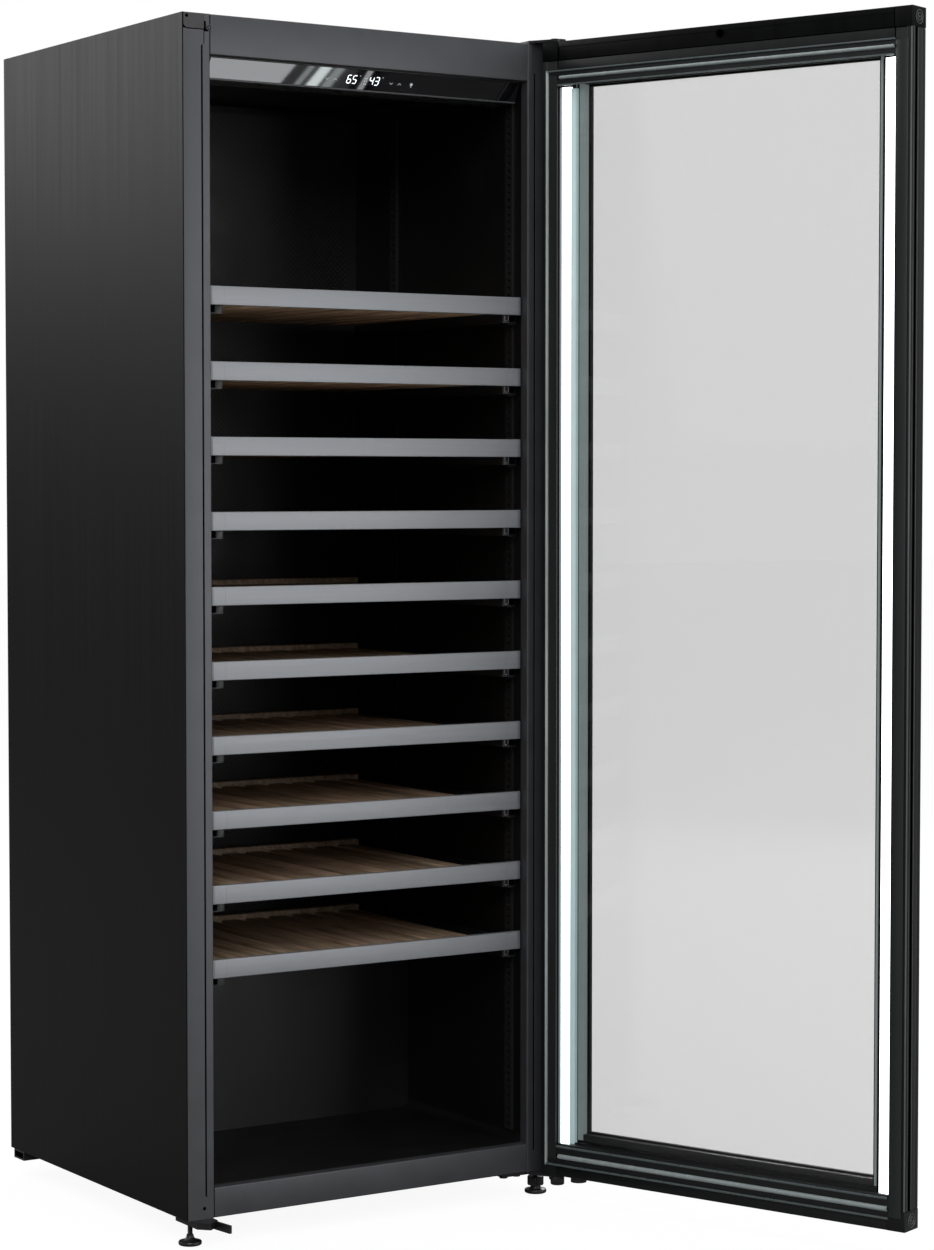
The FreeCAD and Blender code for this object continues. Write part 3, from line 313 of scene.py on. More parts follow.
# pale teal metal for the spacer: painted light from the light bars on a black spacer, brightened and tinted
# teal
spacer_painted_light = finish("spacer_painted_light_look", (0.50, 0.56, 0.57), 0.35, metal=0.2, grain=(80, 80, 4), vary=0.08)
for dull, level in ((door_metal, 0.3), (door_dark_and_shade, 0.12)):
    dull.node_tree.nodes["Principled BSDF"].inputs["Specular IOR Level"].default_value = level
cap_ring = finish("cap_ring_look", (0.09, 0.095, 0.10), 0.35, grain=(60, 60, 60), vary=0.1)
band_grey = finish("band_grey_look", (0.011, 0.013, 0.013), 0.4, grain=(5, 5, 30), vary=0.05, bump=0.02)
# painted glow: the spacer sides and the hinge-side bead shine as if lit by the light bars
spacer_painted_glow = lit("spacer_side_painted_glow_look", (0.30, 0.36, 0.355), 0.36, spread=0.12)
bead_painted_glow = lit("bead_painted_glow_look", (0.40, 0.52, 0.53), 0.42, spread=0.12)
diffuser_edge = lit("diffuser_edge_look", (0.30, 0.36, 0.37), 0.30, spread=0.2)
# matte black for dark joints, screw heads and holes, and painted shade in grooves, screw recesses and the
# open beam ends
matte_black_and_shade = finish("matte_black_and_shade_look", (0.0006, 0.0006, 0.0006), 0.9, grain=(60, 60, 60), vary=0.3)
matte_black_and_shade.node_tree.nodes["Principled BSDF"].inputs["Specular IOR Level"].default_value = 0.0
# light grey strips on the grip's edges: painted highlights
edge_painted_highlight = finish("edge_painted_highlight_look", (0.16, 0.17, 0.17), 0.3, metal=0.3, grain=(60, 60, 3), vary=0.15)
# light grey copies of the black seal rubber: painted highlights on the lip lines, the ribs and the
# hinge-side lip
seal_painted_highlight = finish("seal_painted_highlight_look", (0.42, 0.47, 0.46), 0.3, grain=(60, 60, 5), vary=0.2, bump=0.03)
seal_flat = finish("seal_flat_look", (0.011, 0.013, 0.013), 0.45, grain=(60, 60, 3), vary=0.06, bump=0.03)
lip_painted_highlight = finish("lip_painted_highlight_look", (0.085, 0.105, 0.105), 0.30, grain=(60, 60, 60), vary=0.08, bump=0.03)
rib_painted_highlight = finish("rib_painted_highlight_look", (0.30, 0.345, 0.34), 0.24, grain=(60, 60, 60), vary=0.08, bump=0.02)
gasket_rubber = finish("gasket_look", (0.0028, 0.0036, 0.0036), 0.45, grain=(60, 60, 60), vary=0.12,
                       bump=0.08)
cap_plastic = finish("cap_look", (0.004, 0.0042, 0.0044), 0.45, grain=(50, 50, 50), bump=0.06)
bush_plastic = finish("bush_look", (0.02, 0.02, 0.02), 0.4, grain=(50, 50, 50))
shelf_metal = finish("shelf_metal_look", (0.235, 0.245, 0.26), 0.42, metal=0.5, grain=(2, 120, 160),
                     vary=0.06, rough_vary=0.05, bump=0.03, fine=2200)
shelf_wood = timber("shelf_wood_look")
glass = pane("glass_look", (0.922, 0.922, 0.922), 0.8)
diffuser = lit("diffuser_look", (0.97, 0.985, 1.0), 3.2)
digit_light = lit("digit_look", (0.9, 0.95, 1.0), 1.6)
legend_dim = lit("legend_dim_look", (0.45, 0.47, 0.5), 0.35)

LOOKS = {
    "side_paint": side_paint, "back_paint": back_paint, "front_paint": front_paint,
    "galvanised": galvanised, "liner_black": liner_black, "foam": foam, "duct_black": duct,
    "coil_metal": coil_metal, "standard_black": standard_black, "rail_steel": rail_steel,
    "control_black": control_black, "control_glass": control_glass, "hinge_steel": hinge_steel,
    "pin_steel": pin_steel, "cover_plastic": cover_plastic, "foot_black": foot_black,
    "compressor_paint": compressor_paint, "fan_black": fan_black, "tray_plastic": tray_plastic,
    "inlet_black": bush_plastic, "screw_steel": screw_steel, "door_metal": door_metal,
    "door_glass": glass, "spacer_black": spacer_painted_light, "gasket_rubber": gasket_rubber,
    "light_white": diffuser, "cap_plastic": cap_plastic, "bush_plastic": bush_plastic,
    "shelf_metal": shelf_metal, "shelf_wood": shelf_wood,
}
for entry in frame["record"]["subparts"]:
    for holder in frame["nodes"][entry["node"]].material_slots:
        holder.material = LOOKS[entry["material_slot"]]


# ---------------- building pieces
def piece(name, mesh, mat, body, bevel=0.0, segments=2, place=None, angle=30):
    """Turns a bmesh drawn in millimetres into a piece that rides on a body."""
    bmesh.ops.recalc_face_normals(mesh, faces=mesh.faces)
    bmesh.ops.scale(mesh, vec=(MM, MM, MM), verts=mesh.verts)
    if place is not None:
        bmesh.ops.transform(mesh, matrix=place, verts=mesh.verts)
    data = bpy.data.meshes.new(name)
    mesh.to_mesh(data)
    mesh.free()
    obj = bpy.data.objects.new(name, data)
    bpy.context.scene.collection.objects.link(obj)
    for item in mat if isinstance(mat, list) else [mat]:
        data.materials.append(item)
    if bevel:
        mod = obj.modifiers.new("edges", "BEVEL")
        mod.width = bevel * MM
        mod.segments = segments
        mod.limit_method = "ANGLE"
        mod.angle_limit = math.radians(angle)
        mod.harden_normals = False
    for polygon in data.polygons:
        polygon.use_smooth = True
    if not bevel:
        data.set_sharp_from_angle(angle=math.radians(35))
    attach(obj, body)
    return obj


def add_box(mesh, low, high, index=0):
    xs, ys, zs = zip(low, high)
    verts = [mesh.verts.new((x, y, z)) for x in xs for y in ys for z in zs]
    for ids in ((0, 1, 3, 2), (4, 6, 7, 5), (0, 4, 5, 1), (2, 3, 7, 6), (0, 2, 6, 4), (1, 5, 7, 3)):
        mesh.faces.new([verts[i] for i in ids]).material_index = index
    return verts


def add_prism(mesh, section, start, end, index=0):
    """A closed section joined between two mappings of its points into space."""
    first = [mesh.verts.new(start(*p)) for p in section]
    last = [mesh.verts.new(end(*p)) for p in section]
    count = len(section)
    for i in range(count):
        j = (i + 1) % count
        mesh.faces.new((first[i], first[j], last[j], last[i])).material_index = index
    mesh.faces.new(first).material_index = index
    mesh.faces.new(last).material_index = index


def add_lathe(mesh, outline, centre, axis="z", count=48, ripple=None, index=0):
    """Turns (radius, height) points about an axis through a centre; ripple scales a point's radius."""
    rings = []
    for radius, height in outline:
        ring = []
        for i in range(count):
            turn = 2 * math.pi * i / count
            r = radius * (ripple(i, height) if ripple else 1)
            a, b = r * math.cos(turn), r * math.sin(turn)
            spot = {"z": (a, b, height), "y": (a, height, b), "x": (height, a, b)}[axis]
            ring.append(mesh.verts.new([c + s for c, s in zip(centre, spot)]))
        rings.append(ring)
    for low, high in zip(rings, rings[1:]):
        for i in range(count):
            j = (i + 1) % count
            mesh.faces.new((low[i], low[j], high[j], high[i])).material_index = index
    mesh.faces.new(rings[0]).material_index = index
    mesh.faces.new(rings[-1]).material_index = index


def round_corners(section, radii, steps=4):
    """A polygon with each corner of a given radius rounded."""
    out = []
    count = len(section)
    for i, (x, y) in enumerate(section):
        radius = radii[i] if isinstance(radii, (list, tuple)) else radii
        if radius <= 0:
            out.append((x, y))
            continue
        here = Vector((x, y))
        before = (Vector(section[i - 1]) - here).normalized()
        after = (Vector(section[(i + 1) % count]) - here).normalized()
        half = before.angle(after) / 2
        reach = radius / math.tan(half)
        start, end = here + before * reach, here + after * reach
        for k in range(steps + 1):
            part = k / steps
            near = start.lerp(here, part)
            far = here.lerp(end, part)
            out.append(tuple(near.lerp(far, part)))
    return out


# ---------------- front frame
FOLD = FACE_BACK - FRONT


def face_section(near, far):
    """The folded section of a front member, across its width and its depth."""
    points = [(near, 0), (far, 0), (far, FOLD), (far - 2, FOLD), (far - 2, 2), (near + 2, 2),
              (near + 2, FOLD), (near, FOLD)]
    return round_corners(points, [1.8, 1.8, 0, 0, 0, 0, 0, 0])


for side, sign in (("left", -1), ("right", 1)):
    mesh = bmesh.new()
    groove = [(293.5, 0), (294.1, 1.1), (295.9, 1.1), (296.5, 0)]
    section = face_section(MOUTH_HALF, FACE_HALF)
    split = next(i for i, p in enumerate(section) if p[0] > 300)
    grooved = section[:split] + groove + section[split:]
    top = BODY_TOP
    if side == "left":
        cover_low = span("hinge_cover_plate")[0][2] - 0.4
        cover_right = -span("hinge_cover_plate")[1][0] - 0.4
        add_prism(mesh, round_corners([(MOUTH_HALF, 0), (cover_right, 0), (cover_right, FOLD),
                                       (MOUTH_HALF, FOLD)], [1.8, 0.8, 0, 0]),
                  lambda a, d: (-a, FRONT + d, cover_low), lambda a, d: (-a, FRONT + d, BODY_TOP))
        top = cover_low
    levels = [BODY_LOW, 73, 1777, top]
    for k, shape in enumerate((section, grooved, section)):
        add_prism(mesh, shape, lambda a, d, z=levels[k]: (sign * a, FRONT + d, z),
                  lambda a, d, z=levels[k + 1]: (sign * a, FRONT + d, z))
    stile = piece("stile_" + side, mesh, front_paint, "cabinet")
    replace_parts(stile, "stiles")

for name, low, high in (("header", MOUTH_TOP, BODY_TOP), ("sill", BODY_LOW, MOUTH_LOW)):
    mesh = bmesh.new()
    add_prism(mesh, face_section(low, high), lambda z, d: (-MOUTH_HALF + 0.9, FRONT + d, z),
              lambda z, d: (MOUTH_HALF - 0.9, FRONT + d, z))
    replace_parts(piece(name + "_face", mesh, front_paint, "cabinet"), name)

# dark lines: black strips in the grooves of both stiles as painted shade, and the dark joint of the stiles
# with the side panels
mesh = bmesh.new()
for sign in (-1, 1):
    for near, far, shy, deep, z0, z1 in (
            (293.6, 296.4, 0.6, 1.05, 74, 1776),
            (FACE_HALF - 0.6, FACE_HALF + 0.15, -0.05, 1.5, BODY_LOW + 1, BODY_TOP - 1)):
        a, b = sorted((sign * near, sign * far))
        add_box(mesh, (a, FRONT + shy, z0), (b, FRONT + deep, z1))
piece("stile_lines", mesh, matte_black_and_shade, "cabinet")

# dark joints round the unused hinge cover, its slot, and the screw holes of the left-hand stile
cover_lo, cover_hi = span("hinge_cover_plate")
mesh = bmesh.new()
x0, z0 = cover_lo[0] - 0.4, cover_lo[2] - 0.9
path = [(x0, cover_hi[2]), (x0, z0 + 8), (x0 + 0.6, z0 + 4.6), (x0 + 2.4, z0 + 2), (x0 + 5, z0 + 0.6),
        (x0 + 8.5, z0), (cover_hi[0] + 0.3, z0), (cover_hi[0] + 0.3, z0 + 1.5), (x0 + 8.9, z0 + 1.5),
        (x0 + 6, z0 + 2.0), (x0 + 3.6, z0 + 3.3), (x0 + 2.1, z0 + 5.4), (x0 + 1.5, z0 + 8),
        (x0 + 1.5, cover_hi[2])]
add_prism(mesh, path, lambda x, z: (x, FRONT - 0.12, z), lambda x, z: (x, FRONT + 1, z))
for lower, upper in (((-291.4, 1796), (-288.2, 1811)), ((-288.2, 1796), (-284.6, 1799)),
                     ((cover_hi[0] - 0.6, 1778), (cover_hi[0] + 0.6, 1800))):
    add_box(mesh, (lower[0], FRONT - 0.12, lower[1]), (upper[0], FRONT + 1, upper[1]))
add_lathe(mesh, [(2.6, -0.14), (2.6, 1)], (cover_lo[0] + 6.5, FRONT, cover_hi[2] - 5), axis="y", count=24)
piece("cover_joints", mesh, matte_black_and_shade, "cabinet")
mesh = bmesh.new()
for x, z, y, outline in (
        (-283, 1802, FRONT - 1.2, [(4.0, 1.2), (4.0, 0.35), (3.3, 0), (1.9, -0.05), (1.7, 0.8)]),
        (-298, 56, FRONT - 0.1, [(2.7, 1.0), (2.7, 0.04), (2.5, 0), (0.9, 0.02), (0.2, 0.02)])):
    add_lathe(mesh, outline, (x, y, z), axis="y", count=28)
piece("face_screw_heads", mesh, matte_black_and_shade, "cabinet")

# open end of the rear beam: a thin black sheet as the painted shade inside it
beam_top = span("rear_supports")[1][2]
mesh = bmesh.new()
for sign in (-1, 1):
    add_box(mesh, (sign * HALF - 0.15, 263, beam_top - 11.5), (sign * HALF + 0.15, 294, beam_top - 2.5))
piece("beam_mouths", mesh, matte_black_and_shade, "cabinet")

# feet: a knurled disc, a flared neck and a threaded stem; the right one has a ribbed wheel
def ribbed(count, depth, low, high):
    return lambda i, h: 1 - depth * (1 if low < h < high and i % count == 0 else 0)


THREAD = [(3.95 if k % 2 else 3.45, 16 + k * 0.75) for k in range(31)]
for side, flare in (("left", [(13.4, 6.0), (11.5, 6.8), (8.2, 8.4), (6.2, 10.8), (5.2, 14.0), (5.0, 15.6)]),
                    ("right", [(13.4, 6.0), (12.2, 6.6), (9.0, 7.6), (8.0, 9.6), (8.0, 11.4), (5.0, 11.6)])):
    foot_lo, foot_hi = span("foot_" + side)
    centre = ((foot_lo[0] + foot_hi[0]) / 2, (foot_lo[1] + foot_hi[1]) / 2, 0)
    mesh = bmesh.new()
    add_lathe(mesh, [(15.8, 0), (17.2, 0.9), (17.5, 2.2), (17.5, 4.6), (16.6, 5.8)] + flare + THREAD
              + [(3.0, 39.5)], centre, count=72, ripple=ribbed(3, 0.03, 2, 5))
    if side == "right":
        add_lathe(mesh, [(11.2, 12.1), (12.6, 12.6), (13.0, 13.6), (13.0, 25.4), (12.4, 26.5), (9.0, 26.9)],
                  centre, count=72, ripple=ribbed(3, 0.09, 13, 26))
    body = "foot_" + side
    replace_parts(piece(body + "_turned", mesh, foot_black, body), body)

# hinge pins: chamfered pins, a hexagon nut and the ribbed knob below, a domed head above
px, py = PIVOT.x * 1000, PIVOT.y * 1000
mesh = bmesh.new()
add_lathe(mesh, [(3.4, 29), (4, 29.6), (4, 57.4), (3.2, 58.4)], (px, py, 0), count=36)
add_lathe(mesh, [(7.2, 29), (8, 29.8), (8, 35.2), (7.2, 35.9)], (px, py, 0), count=6)
add_lathe(mesh, [(9.6, 23), (10.7, 23.8), (11, 25), (11, 34.6), (10.2, 35.9)], (px, py - 11, 0), count=72,
          ripple=ribbed(3, 0.08, 24, 35))
add_lathe(mesh, [(3.2, 1803), (4, 1804), (4, 1826), (7, 1826), (7, 1827.6), (6.2, 1828.6), (2.2, 1828.9),
                 (2.0, 1827.8)], (px, py, 0), count=36)
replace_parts(piece("hinge_pins_turned", mesh, pin_steel, "cabinet"), "hinge_pins")

# cross recesses of the screws at the back and of the bolts on the upper hinge plate, drawn as flat black
# crosses: painted shade in the recesses
mesh = bmesh.new()
for i in range(5):
    x = -HALF + 16 + i * (HALF - 16) / 2
    for z in (BODY_LOW + 12, 288, BODY_TOP - 10):
        add_box(mesh, (x - 2.6, BACK + 1.9, z - 0.5), (x + 2.6, BACK + 2.08, z + 0.5))
        add_box(mesh, (x - 0.5, BACK + 1.9, z - 2.6), (x + 0.5, BACK + 2.08, z + 2.6))
for x, y in ((292, 60), (HALF - 9, 60), (305, 25)):
    add_box(mesh, (x - 3.2, FRONT + y - 0.6, BODY_TOP + 7.9), (x + 3.2, FRONT + y + 0.6, BODY_TOP + 8.08))
    add_box(mesh, (x - 0.6, FRONT + y - 3.2, BODY_TOP + 7.9), (x + 0.6, FRONT + y + 3.2, BODY_TOP + 8.08))
piece("screw_recesses", mesh, matte_black_and_shade, "cabinet")

# ---------------- shelf standards with their ladder of slots
low, high = span("shelf_standards")
mesh = bmesh.new()
SLOT_PITCH = 11.5
for side in (-1, 1):
    for back, bottom in ((52, 100), (400, 350)):
        middle = FRONT + back
        wall, face = side * high[0], side * (high[0] - 4)
        for edge in (-1, 1):
            a, b = sorted((middle + edge * 4.5, middle + edge * 10))
            add_box(mesh, (min(wall, face), a, bottom), (max(wall, face), b, high[2]))
        z = bottom
        while z < high[2] - 1:
            add_box(mesh, (min(wall, face), middle - 4.5, z), (max(wall, face), middle + 4.5, z + 5.5))
            z += SLOT_PITCH
standards = piece("slotted_standards", mesh, standard_black, "cabinet")
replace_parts(standards, "shelf_standards")

# ---------------- shelves
for body in SHELVES:
    low, high = span(body + "_frame")
    slat_low, slat_high = span(body + "_slats")
    bar_low, bar_high = high[2] - 28, high[2]
    front = low[1]
    section = round_corners([(front, bar_low), (front + 10, bar_low), (front + 10, bar_high),
                             (front, bar_high)], [1.2, 0.6, 0.8, 1.4])
    mesh = bmesh.new()
    add_prism(mesh, section, lambda y, z: (-252, y, z), lambda y, z: (252, y, z))
    bar = piece(body + "_bar", mesh, shelf_metal, body)
    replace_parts(bar, body + "_frame")

    mesh = bmesh.new()
    for sign in (-1, 1):
        for k, (inner, outer, ease) in enumerate(((252.12, 272, 0), (272, 276.5, 0.9), (276.5, 279, 2.4),
                                                  (279, 280, 4.4))):
            before = (0, 0, 0.9, 2.4)[k]
            add_prism(mesh, section, lambda y, z: (sign * inner, y + before * (front + 10 - y) / 10, z),
                      lambda y, z: (sign * outer, y + ease * (front + 10 - y) / 10, z))
    bmesh.ops.remove_doubles(mesh, verts=mesh.verts, dist=0.01)
    piece(body + "_ends", mesh, shelf_metal, body)

    mesh = bmesh.new()
    level = low[2] + 12.5
    rear = high[1]
    for sign in (-1, 1):
        near, far, web = 250.2, 274, 262.5
        c_section = [(near, -12.5), (far, -12.5), (far, -11), (web, -11), (web, 11), (far, 11),
                     (far, 12.5), (near, 12.5)]
        add_prism(mesh, round_corners(c_section, [1, 0.6, 0, 0.8, 0.8, 0, 0.6, 1], 3),
                  lambda a, h: (sign * a, front + 10, level + h), lambda a, h: (sign * a, rear, level + h))
        for along in (60, 250, 430):
            centre = (sign * 262.6, front + along, level)
            add_lathe(mesh, [(9.5, 0), (10.2, sign * 0.8), (10.2, sign * 7), (9.5, sign * 7.8),
                             (4, sign * 7.8), (3.4, sign * 9)], centre, axis="x", count=28)
    piece(body + "_runners", mesh, rail_steel, body, bevel=0.2)

    mesh = bmesh.new()
    for x0, x1, z0 in ((252.6, 254.4, -10), (259.4, 261, -10), (254.4, 259.4, -10)):
        add_box(mesh, (x0, front + 8.6, level + z0), (x1, front + 9.9, level + (5 if x1 - x0 < 3 else -8.2)))
    add_lathe(mesh, [(4.2, 0), (4.2, -1.0), (3.4, -1.8), (1.6, -2.0), (1.4, -1.2)],
              (-274.5, front + 9.8, level - 1), axis="y", count=24)
    piece(body + "_clips", mesh, clip_steel, body, bevel=0.3)

    mesh = bmesh.new()
    tone = mesh.loops.layers.color.new("tone")
    solid_low, solid_high = slat_low[2], slat_low[2] + 12
    start, end = front + 22, rear - 15

    def timber_box(lower, upper):
        first = len(mesh.faces)
        add_box(mesh, lower, upper)
        mesh.faces.ensure_lookup_table()
        value = random.uniform(0.62, 1.0)
        warm = random.uniform(-0.04, 0.04)
        for face in mesh.faces[first:]:
            for loop in face.loops:
                loop[tone] = (value, value * (1 - abs(warm)), value * (1 + warm), 1)

    for i in range(11):
        middle = (i - 5) * 44.5
        timber_box((middle - 15, start - 4, solid_low), (middle + 15, end + 4, solid_high))
    timber_box((-249.8, front + 10.3, slat_low[2]), (249.8, start, slat_high[2]))
    timber_box((-249.8, end, slat_low[2]), (249.8, rear, slat_high[2]))
    deck = piece(body + "_deck", mesh, shelf_wood, body, bevel=1.6, segments=3)
    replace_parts(deck, body + "_slats")

# ---------------- control strip
glass_low, glass_high = span("control_glass")
TOP_LINE = Vector((0, glass_low[1], glass_high[2] - 1.35))
LOW_LINE = Vector((0, glass_high[1] - 2.7, glass_low[2]))
DOWN = (LOW_LINE - TOP_LINE).normalized()
OUT = Vector((0, -DOWN.z, DOWN.y)).normalized()
if OUT.y > 0:
    OUT = -OUT


def on_glass(x, down, lift=0.12):
    """A point on the sloping glass, a distance below its top edge and lifted off it."""
    return TOP_LINE + Vector((x, 0, 0)) + DOWN * down + OUT * lift


def add_patch(mesh, points, lift=0.12):
    """A thin raised shape on the glass from its (across, down) outline."""
    top = [mesh.verts.new(on_glass(x, d, lift)) for x, d in points]
    base = [mesh.verts.new(on_glass(x, d, 0.01)) for x, d in points]
    mesh.faces.new(top)
    mesh.faces.new(list(reversed(base)))
    for i in range(len(points)):
        j = (i + 1) % len(points)
        mesh.faces.new((top[i], base[i], base[j], top[j]))


def circle(x, down, radius):
    """Sixteen points round a centre on the glass."""
    return [(x + radius * math.cos(t * math.pi / 8), down + radius * math.sin(t * math.pi / 8))
            for t in range(16)]


SEGMENTS = {"6": "acdefg", "5": "acdfg", "4": "bcfg", "3": "abcdg"}
mesh = bmesh.new()
DIGIT_W, DIGIT_H, STROKE, SLANT, DIGIT_TOP = 6.3, 12.4, 1.25, 0.13, 9.5


def add_digit(mesh, digit, left):
    """One slanted seven-segment figure."""
    w, h, s = DIGIT_W, DIGIT_H, STROKE
    bars = {"a": (0, 0, w, 0), "g": (0, h / 2, w, h / 2), "d": (0, h, w, h), "f": (0, 0, 0, h / 2),
            "b": (w, 0, w, h / 2), "e": (0, h / 2, 0, h), "c": (w, h / 2, w, h)}
    for letter in SEGMENTS[digit]:
        x0, y0, x1, y1 = bars[letter]
        gap = 0.35
        if y0 == y1:
            outline = [(x0 + gap, y0), (x0 + gap + s / 2, y0 - s / 2), (x1 - gap - s / 2, y0 - s / 2),
                       (x1 - gap, y0), (x1 - gap - s / 2, y0 + s / 2), (x0 + gap + s / 2, y0 + s / 2)]
        else:
            outline = [(x0, y0 + gap), (x0 + s / 2, y0 + gap + s / 2), (x0 + s / 2, y1 - gap - s / 2),
                       (x0, y1 - gap), (x0 - s / 2, y1 - gap - s / 2), (x0 - s / 2, y0 + gap + s / 2)]
        add_patch(mesh, [(left + x + (h - y) * SLANT, DIGIT_TOP + y) for x, y in outline])


for digit, left in (("6", -37), ("5", -27.4), ("4", 2.6), ("3", 12.2)):
    add_digit(mesh, digit, left)
piece("readout", mesh, digit_light, "cabinet")

mesh = bmesh.new()
for x in (-14.5, 25.5):
    add_patch(mesh, circle(x, DIGIT_TOP, 0.9))
for x, way in ((-71, 1), (-57, -1), (42, 1), (57, -1)):
    d = DIGIT_TOP + 8
    for sign in (-1, 1):
        tip = (x, d + way * 1.8)
        foot = (x + sign * 3.0, d - way * 1.8)
        thick = 0.8
        add_patch(mesh, [tip, (tip[0], tip[1] - way * thick * 1.4), (foot[0], foot[1] - way * 0.1),
                         (foot[0] + sign * 0.1, foot[1] + way * thick)])
add_patch(mesh, circle(78, DIGIT_TOP + 7, 2.4))
add_patch(mesh, [(77, DIGIT_TOP + 10), (79, DIGIT_TOP + 10), (79, DIGIT_TOP + 11.6), (77, DIGIT_TOP + 11.6)])
for x in (-6, -3):
    for k in range(3):
        add_patch(mesh, [(x, DIGIT_TOP + 2 + 4.5 * k), (x + 1.2, DIGIT_TOP + 2 + 4.5 * k),
                         (x + 1.2, DIGIT_TOP + 4.6 + 4.5 * k), (x, DIGIT_TOP + 4.6 + 4.5 * k)])
piece("touch_marks", mesh, legend_dim, "cabinet")

mesh = bmesh.new()
lip_section = round_corners([(LOW_LINE.y - 1.6, LOW_LINE.z - 2.2), (LOW_LINE.y + 3, LOW_LINE.z - 2.2),
                             (LOW_LINE.y + 3, LOW_LINE.z - 0.1), (LOW_LINE.y - 1.0, LOW_LINE.z - 0.1)],
                            [0.6, 0, 0, 0.6])
add_prism(mesh, lip_section, lambda y, z: (-273.8, y, z), lambda y, z: (273.8, y, z))
piece("control_lip", mesh, cap_ring, "cabinet")


# ---------------- door
MIDDLE = -PIVOT.x * 1000


def add_mitred(mesh, section, half=DOOR_HALF, low=DOOR_LOW, high=DOOR_TOP, sides="lrbt", gap=0.0, index=0):
    """Four lengths of one section (in from the edge, deep from the inner face) mitred at the corners."""
    corners = {"bl": (-1, low, 1), "br": (1, low, 1), "tr": (1, high, -1), "tl": (-1, high, -1)}
    runs = {"b": ("bl", "br"), "r": ("br", "tr"), "t": ("tr", "tl"), "l": ("tl", "bl")}

    def at(corner):
        sx, z0, sz = corners[corner]
        return lambda a, d: (MIDDLE + sx * (half - a), INNER - d, z0 + sz * a)

    for side in sides:
        start, end = runs[side]
        add_prism(mesh, section, at(start), at(end), index)


def door_box(mesh, x, deep, z, index=0):
    """A block on the door: across from the middle, deep from the inner face, up."""
    add_box(mesh, (MIDDLE + x[0], INNER - deep[1], z[0]), (MIDDLE + x[1], INNER - deep[0], z[1]), index)


BLOCK, LIP, CAP = 53.75, 69.25, 29.5
CAP_LEVELS = (DOOR_LOW + CAP, DOOR_TOP - CAP)
GAP = 0.35


def side_point(sign, z):
    return lambda a, d: (MIDDLE + sign * (DOOR_HALF - a), INNER - d, z)


def rail_point(x, edge, up):
    return lambda a, d: (MIDDLE + x, INNER - d, edge + up * a)


# outer band: straight lengths between the corner caps
plain = [(0, 0.6), (0.6, 0), (8.6, 0), (9.2, 0.7), (CAP, 0.7), (CAP, 41), (0.8, 41), (0, 40.2)]
hinge_band = [(0, 0.6), (0.6, 0), (8.6, 0), (9.2, 0.7), (27.0, 0.7), (27.6, 1.5), (27.6, 13.9), (CAP, 13.9),
              (CAP, 41), (0.8, 41), (0, 40.2)]
grip_band = [(0, 0.6), (0.6, 0), (2.4, 0), (2.7, 0.8), (3.6, 0.8), (4.0, 0.2), (8.6, 0.2), (9.2, 1.0),
             (27.0, 1.0), (27.6, 1.8), (27.6, 13.9), (CAP, 13.9), (CAP, 41), (1.4, 41), (0.7, 40.3),
             (0.7, 33.6), (1.8, 33.0), (1.8, 31.8), (0, 31.2), (0, 17.6), (0.8, 17.0), (11, 16.8),
             (11, 9.6), (0.8, 9.2), (0, 8.6), (0, 4.6), (2.4, 4.3), (2.4, 3.2), (0, 2.9)]
for sign, label, section in ((1, "hinge_side", hinge_band), (-1, "free_side", grip_band)):
    mesh = bmesh.new()
    add_prism(mesh, section, side_point(sign, CAP_LEVELS[0] + GAP), side_point(sign, CAP_LEVELS[1] - GAP))
    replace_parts(piece("door_%s_member" % label, mesh, door_metal, "door", bevel=0.15,
                      place=DOOR), "door_frame")
for label, edge, up in (("bottom", DOOR_LOW, 1), ("top", DOOR_TOP, -1)):
    mesh = bmesh.new()
    reach = DOOR_HALF - CAP - GAP
    add_prism(mesh, plain, rail_point(-reach, edge, up), rail_point(reach, edge, up))
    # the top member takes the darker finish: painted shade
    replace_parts(piece("door_%s_member" % label, mesh, door_dark_and_shade if up < 0 else door_metal, "door",
                      bevel=0.2, place=DOOR), "door_frame")
# black strips set into the two grooves of the free edge: painted shade
mesh = bmesh.new()
for low_deep, high_deep in ((9.8, 16.6), (3.3, 4.2)):
    near, far = (10.9, 0.9) if high_deep > 5 else (2.3, 1.2)
    add_box(mesh, (MIDDLE - DOOR_HALF + far, INNER - high_deep, CAP_LEVELS[0] + 1),
            (MIDDLE - DOOR_HALF + near, INNER - low_deep, CAP_LEVELS[1] - 1))
piece("grip_groove_painted_shade", mesh, matte_black_and_shade, "door", place=DOOR)

# light strips along the edges of the free edge's grip: painted highlights on the dark door metal
mesh = bmesh.new()
for near, far, proud, deep in ((0.1, 2.3, 0.12, 0.4), (-0.12, 0.5, -4.8, 5.4), (-0.12, 0.5, -17.8, 18.6)):
    add_box(mesh, (MIDDLE - DOOR_HALF + near, INNER - deep, CAP_LEVELS[0] + 1),
            (MIDDLE - DOOR_HALF + far, INNER + proud, CAP_LEVELS[1] - 1))
piece("grip_edge_painted_highlights", mesh, edge_painted_highlight, "door", place=DOOR)

# inner band: the ledge that carries the glass, mitred
mesh = bmesh.new()
add_mitred(mesh, [(CAP, 13.9), (BLOCK, 13.9), (BLOCK, 35.2), (LIP, 35.2), (LIP, 41), (CAP, 41)])
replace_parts(piece("door_ledge", mesh, door_metal, "door", bevel=0.2, place=DOOR), "door_frame")
mesh = bmesh.new()
for edge, up, deep in ((DOOR_LOW, 1, 51.5), (DOOR_TOP, -1, 52)):
    add_prism(mesh, [(CAP, 0.7), (deep - 2, 0.7), (deep, 2.0), (deep, 13.8), (CAP, 13.8)],
              rail_point(-296.6, edge, up), rail_point(296.6, edge, up))
piece("door_rail_trims", mesh, door_metal, "door", bevel=0.3, place=DOOR)

